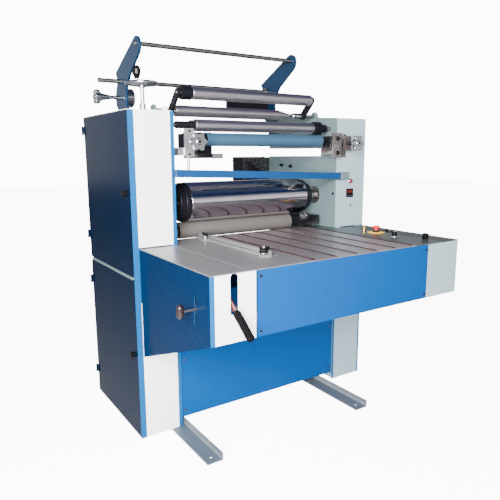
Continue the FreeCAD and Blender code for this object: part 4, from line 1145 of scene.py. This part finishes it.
@dataclass
class Controls(Assembly):
    """What the operator presses and turns, on the table and on the cabinet's front."""

    top: float = 880.0
    panel: float = -309.0

    def make(self) -> None:
        """Make every piece."""
        self.stop()
        self.speed()
        self.selector()
        self.rocker()
        self.indicators()
        self.toggle()

    def up(self, start: float, x: float, y: float, steps: list[tuple[float, float, float]],
           finish: Finish, sides: int = 48, edge: float = 0.0006) -> bpy.types.Object:
        """A turned piece standing on the table, start being measured from its top."""
        return turning(Axis.Z, self.top + start, x, y, steps, finish, sides, edge)

    def stop(self) -> None:
        """The stop button and the fixed fittings on the table."""
        plate = slab((485, -594, 880), (545, -534, 886), STOP_YELLOW, 0.002, 3)
        collar = self.up(6, 515, -564, [(4, 17, 17), (4, 16, 15)], BLACK_PLASTIC)
        bore(collar, Axis.Z, 885.0, 515, -564, 10, 8.5)
        bezel = self.up(0, 495, -700, [(2.5, 19, 19), (1.5, 19, 16.5)], PLATE_STEEL, 64)
        bore(bezel, Axis.Z, 879.0, 495, -700, 6, 4.1)
        base = self.up(0, 560, -830, [(2.5, 15, 15), (1.5, 15, 13)], BLACK_PLASTIC, 48)
        bore(base, Axis.Z, 879.0, 560, -830, 6, 6.1)
        frame = slab((592, -583, 880), (628, -539, 883), BLACK_PLASTIC, 0.001, 3)
        window = slab((597, -578, 878), (623, -544, 886), BLACK_PLASTIC, 0.0)
        hollow(frame, window)
        neck = self.up(0, 508, -487, [(3, 11, 11), (13, 9, 9)], BRASS)
        crown = shaped_disc(Axis.Z, 896.0, 508.0, -487.0, 8.0, [12.0, 11.4, 10.8, 11.4], 14, BRASS,
                            0.0008)
        dots = [self.up(6, x, y, [(0.8, 2.6, 2.6)], BLACK_METAL, 16, 0.0002)
                for x in (491, 539) for y in (-588, -540)]
        whole = join("table_fittings", [plate, collar, bezel, base, frame, neck, crown, *dots])
        self.put(whole, "table_fittings", "machine", "yellow_plastic", "control_fittings")
        button = self.up(10, 515, -564,
                         [(14, 7.9, 7.9), (2, 17, 20), (5, 20, 20), (2.6, 20, 18.4),
                          (2.2, 18.4, 14), (1.4, 14, 8), (0.5, 8, 3)], STOP_RED, 64, 0.0003)
        self.put(button, "stop_mushroom", "stop_button", "red_plastic", "emergency_stop")

    def speed(self) -> None:
        """The speed knob: fluted, with a bright cap and a white pointer."""
        stem = self.up(-8, 495, -700, [(12, 4, 4)], STEEL, 24)
        body = shaped_disc(Axis.Z, 884.3, 495.0, -700.0, 15.0, [13.0, 12.6, 12.0, 12.6], 16,
                           BLACK_PLASTIC, 0.0008)
        skirt = self.up(4.3, 495, -700, [(3, 15, 14)], BLACK_PLASTIC)
        cap = self.up(19.3, 495, -700, [(4, 11, 11), (1.4, 11, 10)], BLACK_PLASTIC)
        disc = self.up(24.5, 495, -700, [(0.8, 8.5, 8.2)], PLATE_STEEL)
        mark = slab((494.2, -711, 904.6), (495.8, -702, 905.4), WHITE, 0.0002)
        whole = join("speed_dial", [stem, body, skirt, cap, disc, mark])
        self.put(whole, "speed_dial", "speed_knob", "black_plastic", "speed_knob")

    def selector(self) -> None:
        """The square selector knob."""
        stem = self.up(-12, 560, -830, [(17, 6, 6)], STEEL, 24)
        body = slab((549, -841, 884.4), (571, -819, 905), BLACK_PLASTIC, 0.003, 4)
        ridge = slab((556, -841, 903), (564, -819, 908), BLACK_PLASTIC, 0.0018, 3)
        mark = slab((559.2, -840, 907.8), (560.8, -832, 908.4), WHITE, 0.0002)
        whole = join("selector_knob", [stem, body, ridge, mark])
        self.put(whole, "selector_knob", "selector", "black_plastic", "selector_switch")

    def rocker(self) -> None:
        """The rocker: a hollowed cap on a round pivot."""
        body = slab((598.5, -574, 864), (621.5, -548, 885), BLACK_PLASTIC, 0.0015, 3)
        dip = turning(Axis.X, 596.0, -561.0, 916.0, [(28, 34, 34)], BLACK_PLASTIC, 96, 0.0)
        hollow(body, dip)
        mark = slab((606, -571, 883.6), (614, -569.6, 884.4), WHITE, 0.0002)
        whole = join("rocker_cap", [body, mark])
        self.put(whole, "rocker_cap", "rocker", "black_plastic", "rocker_switch")

    def indicators(self) -> None:
        """The lamp, the temperature controller and the toggle's nut."""
        ring = turning(Axis.Y, self.panel - 4, 572.0, 1129.0, [(1.5, 12, 13.5), (2.5, 13.5, 13.5)],
                       CHROME, 48)
        lens = turning(Axis.Y, self.panel - 14, 572.0, 1129.0,
                       [(1, 4, 6.5), (2, 6.5, 8.8), (7, 8.8, 11)], LAMP_RED, 48, 0.0003)
        low, high = self.panel - 6, self.panel
        case = slab((543.5, low, 1041), (591.5, high, 1089), BLACK_PLASTIC, 0.0016, 3)
        box = slab((545, high, 1043), (589, high + 70, 1087), BLACK_PLASTIC, 0.001)
        window = slab((547.5, low - 0.6, 1061), (587.5, low + 1, 1085), DISPLAY, 0.0005)
        keys = [slab((x, low - 1.2, 1045), (x + 8, low + 1, 1053), MARGIN_GREY, 0.001, 3)
                for x in (549.0, 563.5, 578.0)]
        digits = [bar for x in (552.0, 561.0, 570.0, 579.0) for bar in self.digit(x, low - 1.0)]
        nut = turning(Axis.Y, self.panel - 5, 575.0, 1001.0, [(5, 9, 9)], PLATE_STEEL, 6, 0.0008)
        neck = turning(Axis.Y, self.panel - 8, 575.0, 1001.0, [(3, 5.6, 5.6)], PLATE_STEEL, 32)
        bore(neck, Axis.Y, self.panel - 9, 575.0, 1001.0, 8, 4.2)
        bore(nut, Axis.Y, self.panel - 9, 575.0, 1001.0, 7, 4.2)
        whole = join("indicators", [ring, lens, case, box, window, *keys, *digits, nut, neck])
        self.put(whole, "indicators", "machine", "black_plastic", "front_indicators")

    def digit(self, x: float, y: float) -> list[bpy.types.Object]:
        """One lit digit made of straight bars."""
        bars = [slab((x + 0.8, y, z), (x + 4.6, y + 0.8, z + 0.9), DIGIT_RED, 0.0001)
                for z in (1067.0, 1072.6, 1078.2)]
        bars += [slab((side, y, z), (side + 0.9, y + 0.8, z + 4.2), DIGIT_RED, 0.0001)
                 for side in (x, x + 4.5) for z in (1068.2, 1073.7)]
        return bars

    def toggle(self) -> None:
        """The toggle switch's bat."""
        bat = turning(Axis.Y, self.panel - 24, 575.0, 1001.0,
                      [(1, 2, 3), (6, 3.2, 3.2), (15, 2.8, 1.9)], CHROME, 24, 0.0003)
        root = turning(Axis.X, 571.0, self.panel - 2, 1001.0,
                       [(1, 1.5, 1.5), (1.4, 2.4, 3.2), (3.2, 3.6, 3.6), (1.4, 3.2, 2.4),
                        (1, 1.5, 1.5)], CHROME, 24, 0.0)
        whole = join("toggle_bat", [bat, root])
        self.put(whole, "toggle_bat", "toggle", "chrome", "toggle_switch")


@dataclass
class RearFrame(Assembly):
    """The rear arms, the unwind shaft with its brake knob, and what hangs behind."""

    def make(self) -> None:
        """Make every piece."""
        # The rear arms take the blue darkened as painted shade.
        self.refine("unwind_arms", "machine", "frame_blue", 0.002, [SHADED_ARM_BLUE])
        tie = turning(Axis.X, -476.0, 85.0, 1797.0, [(3, 9, 13), (3, 13, 13), (940, 11, 11),
                                                     (3, 13, 13), (3, 13, 9)], STEEL, 48)
        self.put(tie, "tie_rod", "machine", "shaft_steel", "arm_tie_rod")
        shaft = turning(Axis.X, -588.0, 315.0, 1648.0,
                        [(2, 9, 11), (127.7, 11, 11), (14, 20, 20), (886, 11, 11), (14, 20, 20),
                         (42.3, 11, 11), (2, 11, 9)], STEEL, 48)
        self.put(shaft, "unwind_bar", "unwind", "shaft_steel", "unwind_shaft")
        self.tension()
        self.refine("rear_guide_plate", "machine", "black_metal", 0.001, [BLACK_METAL])
        self.refine("rear_control_box", "machine", "black_metal", 0.002, [BLACK_METAL])
        self.refine("dancer_arms", "dancer", "black_metal", 0.0015, [BLACK_METAL])

    def tension(self) -> None:
        """The brake's star knob with its tapered stem and its disc."""
        star = shaped_disc(Axis.X, -603.0, 330.0, 1568.0, 22.0, lobes(27.0, 27.0, 11.0, 12), 6,
                           CAST_CHROME, 0.003)
        hub = turning(Axis.X, -607.0, 330.0, 1568.0,
                      [(2, 7, 9), (2, 9, 9), (3, 18, 18), (25, 27, 26), (54, 20, 10),
                       (73, 9, 9), (42, 48, 48), (3, 48, 45)], CAST_CHROME, 64)
        whole = join("brake_knob", [star, hub])
        self.put(whole, "brake_knob", "tension", "black_plastic", "tension_knob")


@dataclass
class FilmPath(Assembly):
    """The rollers that lead the film to the nip, with their blocks, brackets and wheels."""

    def make(self) -> None:
        """Make every piece."""
        self.guide_roller()
        self.film_roller()
        self.plated_roller()
        core = turning(Axis.X, -434.0, -300.0, 1341.0,
                       [(2, 8.5, 10), (117, 10, 10), (2, 27.5, 29.5), (671, 29.5, 29.5),
                        (2, 29.5, 27.5), (93, 10, 10), (2, 10, 8.5)], PALE_BLUE, 96)
        recolour(core, [BLACK_METAL],
                  lambda at, normal: 1 if at.x < -314.5 or at.x > 359.5 else 0)
        self.put(core, "blue_roller_shell", "blue_roller", "blue_rubber", "blue_nip_roller")
        self.refine("nip_roller_blocks", "nip_blocks", "machined", 0.002, [BLACK_METAL])
        self.brackets()
        self.star(-414.0, -330.3, "left_star", "left_star_wheel")
        self.star(505.0, -337.3, "right_star", "right_star_wheel")
        self.handwheel()

    def guide_roller(self) -> None:
        """The topmost roller, with a ribbed collar at its left end."""
        shell = turning(Axis.X, -322.0, -190.0, 1551.0, [(2, 26, 28), (696, 28, 28), (2, 28, 26)],
                        ROLLER_CHROME, 96)
        collar = [(2.0, 23.0, 25.0)]
        for _ in range(4):
            collar += [(5.0, 31.0, 31.0), (5.5, 26.0, 26.0)]
        collar += [(5.0, 31.0, 31.0), (4.6, 25.0, 25.0)]
        ribs = turning(Axis.X, -377.0, -190.0, 1551.0, collar, BLACK_METAL, 64, 0.0008)
        ends = [turning(Axis.X, -399.0, -190.0, 1551.0, [(2, 7, 9), (20, 9, 9)], STEEL, 32),
                turning(Axis.X, 378.0, -190.0, 1551.0, [(19, 9, 9), (2, 9, 7)], STEEL, 32)]
        whole = join("top_roller", [shell, ribs, *ends])
        self.put(whole, "top_roller", "upper_roller", "chrome", "upper_guide_roller")

    def film_roller(self) -> None:
        """The roller below it, tapered at its right end beside a bright collar."""
        shell = turning(Axis.X, -372.0, -115.0, 1476.0,
                        [(2, 24, 26), (589, 26, 26), (81, 26, 9)], ROLLER_CHROME, 96)
        collar = turning(Axis.X, 320.0, -115.0, 1476.0, [(2, 12, 14), (51, 14, 14), (2, 14, 12)],
                         CHROME, 64)
        spindle = turning(Axis.X, -482.0, -115.0, 1476.0, [(2, 8, 9), (960, 9, 9), (2, 9, 8)],
                          STEEL, 32)
        whole = join("tapered_roller", [shell, collar, spindle])
        self.put(whole, "tapered_roller", "film_roller", "chrome", "film_roller")

    def plated_roller(self) -> None:
        """The plated roller with black flanged collars at its ends."""
        shell = turning(Axis.X, -342.0, -250.0, 1405.0, [(2, 25, 27), (684, 27, 27), (2, 27, 25)],
                        ROLLER_CHROME, 96)
        spindle = turning(Axis.X, -482.0, -250.0, 1405.0, [(2, 8, 10), (960, 10, 10), (2, 10, 8)],
                          STEEL, 32)
        left = turning(Axis.X, -436.0, -250.0, 1405.0,
                       [(3, 14, 16), (67, 16, 16), (3, 19, 22), (13, 22, 22), (8, 16, 16)],
                       BLACK_METAL, 64)
        right = turning(Axis.X, 350.0, -250.0, 1405.0,
                        [(14, 34, 34), (16, 22, 22), (14, 34, 34), (42, 20, 20)], BLACK_METAL, 64,
                        0.0012)
        whole = join("plated_roller", [shell, spindle, left, right])
        self.put(whole, "plated_roller", "chrome_roller", "chrome", "chrome_guide_roller")

    def brackets(self) -> None:
        """The adjusting brackets: bright and drilled at the left, bronzed at the right."""
        self.refine("adjust_brackets", "machine", "machined", 0.0012,
                    [BRONZED, PLATE_STEEL, BLACK_METAL, STEEL], self.bracket_region)
        discs = [turning(Axis.Y, -360.0, 432.0, z, [(2, 9, 11), (6, 11, 11)], BLACK_PLASTIC, 48)
                 for z in (1280.0, 1352.0)]
        discs += [turning(Axis.Y, -318.0, x, 1368.0, [(2, 5, 6.5), (3, 6.5, 6.5)], BLACK_METAL, 6)
                  for x in (482.0, 520.0)]
        discs += [turning(Axis.Y, -354.4, -418.0, z, [(2.4, 5, 5)], BLACK_METAL, 32)
                  for z in (1276.0, 1374.0)]
        discs += [turning(Axis.Y, -259.0, x, 1362.0, [(3, 5, 5)], PLATE_STEEL, 6)
                  for x in (-270.0, -300.0)]
        self.put(join("bracket_bolts", discs), "bracket_bolts", "machine", "machined")

    def bracket_region(self, at: Vector, normal: Vector) -> int:
        """Finish of a face of the brackets."""
        if at.x > 0:
            return 0
        if at.x > -256:
            return 1
        if at.y > -263 and at.x > -397.5 and at.z > 1257:
            return 2
        if at.z < 1263.5:
            return 3
        return 1 if at.y < -343 else 2

    def star(self, x: float, tip: float, body: str, node: str) -> None:
        """A plated star wheel on its long screw.

        Args:
            x: Where its axis is.
            tip: Where the screw ends.
            body: Its body.
            node: The node it stands for.
        """
        disc = shaped_disc(Axis.Y, -433.0, x, 1328.0, 15.0, lobes(33.0, 32.0, 10.0, 12), 6,
                           CAST_CHROME, 0.003)
        hub = turning(Axis.Y, -439.0, x, 1328.0,
                      [(2, 11, 14), (5, 14, 14), (4, 20, 22), (10, 22, 22), (22, 20, 11)],
                      CAST_CHROME, 64)
        start, plain, turn = -405.0, 3.0, 3
        thread = [(plain, 8.0, 8.0)]
        for _ in range(int((tip - start - plain) // turn)):
            thread += [(1.0, 7.0, 8.0), (1.0, 8.0, 7.0), (1.0, 7.0, 7.0)]
        screw = turning(Axis.Y, start, x, 1328.0, thread, BLACK_METAL, 32, 0.0)
        recess = turning(Axis.Y, -441.0, x, 1328.0, [(3, 5.5, 6)], BLACK_METAL, 32)
        whole = join(f"{body}_handle", [disc, hub, screw, recess])
        self.put(whole, f"{body}_handle", body, "chrome", node)

    def handwheel(self) -> None:
        """The dished handwheel on its spindle, with a loose handle on its rim."""
        x, y, z = -525.0, -110.0, 1585.0
        stud_y = y + 58
        spindle = turning(Axis.Z, 1440.0, x, y,
                          [(22, 9, 9), (8.3, 9, 9), (2, 13, 14), (26, 14, 14), (2, 14, 12),
                           (70, 9, 9), (19, 9, 9)], PLATE_STEEL, 48)
        dish = turning(Axis.Z, z - 8, x, y, [(14, 42, 69), (-9, 62, 30)], CAST_CHROME, 96, 0.0015)
        hub = turning(Axis.Z, z - 14, x, y, [(10, 16, 17), (12, 17, 17), (4, 17, 14)],
                      CAST_CHROME, 64, 0.0012)
        deselect()
        bpy.ops.mesh.primitive_torus_add(major_radius=67 * MM, minor_radius=8 * MM,
                                         major_segments=96, minor_segments=20,
                                         location=(x * MM, y * MM, (z + 4) * MM))
        rim = bpy.context.object
        paint(rim, CAST_CHROME)
        soften(rim, 0.0)
        stud = turning(Axis.Z, z, x, stud_y, [(8, 10, 9), (80, 5, 5), (2, 8, 8)], STEEL, 32)
        whole = join("dished_wheel", [spindle, dish, hub, rim, stud])
        self.put(whole, "dished_wheel", "handwheel", "chrome", "top_handwheel")
        low = turning(Axis.Z, z + 31, x, stud_y, [(8, 11, 12), (10, 12, 17)], BLACK_PLASTIC, 48)
        grip = shaped_disc(Axis.Z, z + 49, x, stud_y, 26.0, [19.0, 18.6, 17.4, 18.6], 8,
                           BLACK_PLASTIC, 0.003)
        crown = turning(Axis.Z, z + 74, x, stud_y, [(8, 17.5, 15), (4, 15, 10)], BLACK_PLASTIC, 48)
        whole = join("wheel_knob", [low, grip, crown])
        self.put(whole, "wheel_knob", "handle", "black_plastic", "handwheel_handle")


# ------------------------------------------------------------------------------ studio
@dataclass(frozen=True)
class Studio:
    """Floor, lights, surroundings and camera.

    Args:
        camera_at: Where the camera stands, in metres.
        heading: How far it is turned from +Y towards +X, in degrees.
        pitch: How far it looks down, in degrees.
        roll: How far its right-hand side is lowered, in degrees.
        lens: Focal length in millimetres on a 36 mm sensor.
        floor_seen: Brightness of the floor where the camera sees it.
        sky_lit: Strength of the surroundings' light on the object.
        sky_seen: Strength of the surroundings where the camera sees them.
        sky_low: Height share and grey of the pale surroundings' upper edge.
        sky_high: Height share and colour from which the surroundings are dark.
    """

    camera_at: Point = (-1.461, -2.404, 1.278)
    heading: float = 33.34
    pitch: float = 10.44
    roll: float = 0.29
    lens: float = 37.66
    floor_seen: float = 10.0
    sky_lit: float = 1.1
    sky_seen: float = 12.0
    sky_low: tuple[float, Colour] = (0.15, (0.98, 0.98, 0.98))
    sky_high: tuple[float, Colour] = (0.42, (0.04, 0.055, 0.12))

    def make(self) -> None:
        """Make all of it."""
        self.camera()
        self.floor()
        self.surroundings()
        self.lamp("key", (-2.2, -2.8, 1.65), (-0.2, -0.4, 0.85), 1.6, 640.0)
        self.lamp("fill", (2.6, -4.6, 2.2), (0.2, -0.4, 0.9), 5.0, 110.0)
        self.lamp("back", (1.5, 4.2, 3.2), (0.0, 0.0, 1.2), 3.0, 60.0)

    def camera(self) -> None:
        """Make the camera and use it."""
        data = bpy.data.cameras.new("camera")
        data.lens = self.lens
        data.sensor_width = 36.0
        camera = bpy.data.objects.new("camera", data)
        bpy.context.scene.collection.objects.link(camera)
        level = Euler((math.radians(90 - self.pitch), 0.0, -math.radians(self.heading)))
        tilt = Matrix.Rotation(-math.radians(self.roll), 4, "Z")
        turned = level.to_matrix().to_4x4() @ tilt
        camera.matrix_world = Matrix.Translation(self.camera_at) @ turned
        bpy.context.scene.camera = camera

    def floor(self) -> None:
        """Make a pale floor."""
        deselect()
        bpy.ops.mesh.primitive_plane_add(size=40.0, location=(0.0, 0.0, -0.0005))
        floor = bpy.context.object
        floor.name = "floor"
        material = bpy.data.materials.new("pale_floor")
        material.use_nodes = True
        shader = material.node_tree.nodes["Principled BSDF"]
        shader.inputs["Base Color"].default_value = (0.5, 0.5, 0.5, 1.0)
        shader.inputs["Roughness"].default_value = 0.8
        shader.inputs["Emission Color"].default_value = (1.0, 1.0, 1.0, 1.0)
        self.seen_level(material.node_tree, shader.inputs["Emission Strength"], 0.0,
                        self.floor_seen)
        floor.data.materials.append(material)

    def surroundings(self) -> None:
        """Pale surroundings that darken overhead, so that plated pieces have something to show."""
        world = bpy.data.worlds.new("surroundings")
        bpy.context.scene.world = world
        world.use_nodes = True
        tree = world.node_tree
        sky = tree.nodes["Background"]
        place = tree.nodes.new("ShaderNodeTexCoord")
        parts = tree.nodes.new("ShaderNodeSeparateXYZ")
        ramp = tree.nodes.new("ShaderNodeValToRGB")
        tree.links.new(place.outputs["Generated"], parts.inputs["Vector"])
        tree.links.new(parts.outputs["Z"], ramp.inputs["Fac"])
        plain = tree.nodes.new("ShaderNodeMix")
        plain.data_type = "RGBA"
        seen = tree.nodes.new("ShaderNodeLightPath")
        ends = {end.name: end for end in plain.inputs if end.type == "RGBA"}
        tree.links.new(seen.outputs["Is Camera Ray"], plain.inputs["Factor"])
        tree.links.new(ramp.outputs["Color"], ends["A"])
        ends["B"].default_value = (1.0, 1.0, 1.0, 1.0)
        mixed = next(end for end in plain.outputs if end.type == "RGBA")
        tree.links.new(mixed, sky.inputs["Color"])
        for stop, (place_up, colour) in zip(ramp.color_ramp.elements,
                                            (self.sky_low, self.sky_high)):
            stop.position = place_up
            stop.color = (*colour, 1.0)
        self.seen_level(tree, sky.inputs["Strength"], self.sky_lit, self.sky_seen)

    def seen_level(self, tree: bpy.types.NodeTree, strength: bpy.types.NodeSocket, lighting: float,
                   seen: float) -> None:
        """Give a strength one level for lighting and another where the camera sees it.

        Args:
            tree: The node tree.
            strength: The socket that takes it.
            lighting: The level that lights the object.
            seen: The level the camera sees.
        """
        path = tree.nodes.new("ShaderNodeLightPath")
        level = tree.nodes.new("ShaderNodeMapRange")
        tree.links.new(path.outputs["Is Camera Ray"], level.inputs["Value"])
        level.inputs["To Min"].default_value = lighting
        level.inputs["To Max"].default_value = seen
        tree.links.new(level.outputs["Result"], strength)

    def lamp(self, name: str, at: Point, towards: Point, size: float, power: float) -> None:
        """Add a soft lamp. Only the key shows as a reflection.

        Args:
            name: Its name.
            at: Where it is, in metres.
            towards: What it points at.
            size: Its width in metres.
            power: Its power in watts.
        """
        data = bpy.data.lights.new(name, "AREA")
        data.size = size
        data.energy = power
        lamp = bpy.data.objects.new(name, data)
        lamp.visible_glossy = name == "key"
        bpy.context.scene.collection.objects.link(lamp)
        lamp.location = at
        lamp.rotation_euler = (Vector(towards) - Vector(at)).to_track_quat("-Z", "Y").to_euler()


def main() -> None:
    """Load the frame, make everything, and note the sizes."""
    logging.basicConfig(level=logging.INFO, format="%(message)s")
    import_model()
    Studio().make()
    assemblies = (Cabinets(), Fasteners(), Nip(), Table(), Controls(), RearFrame(), FilmPath())
    for assembly in assemblies:
        assembly.make()


if __name__ == "__main__":
    main()
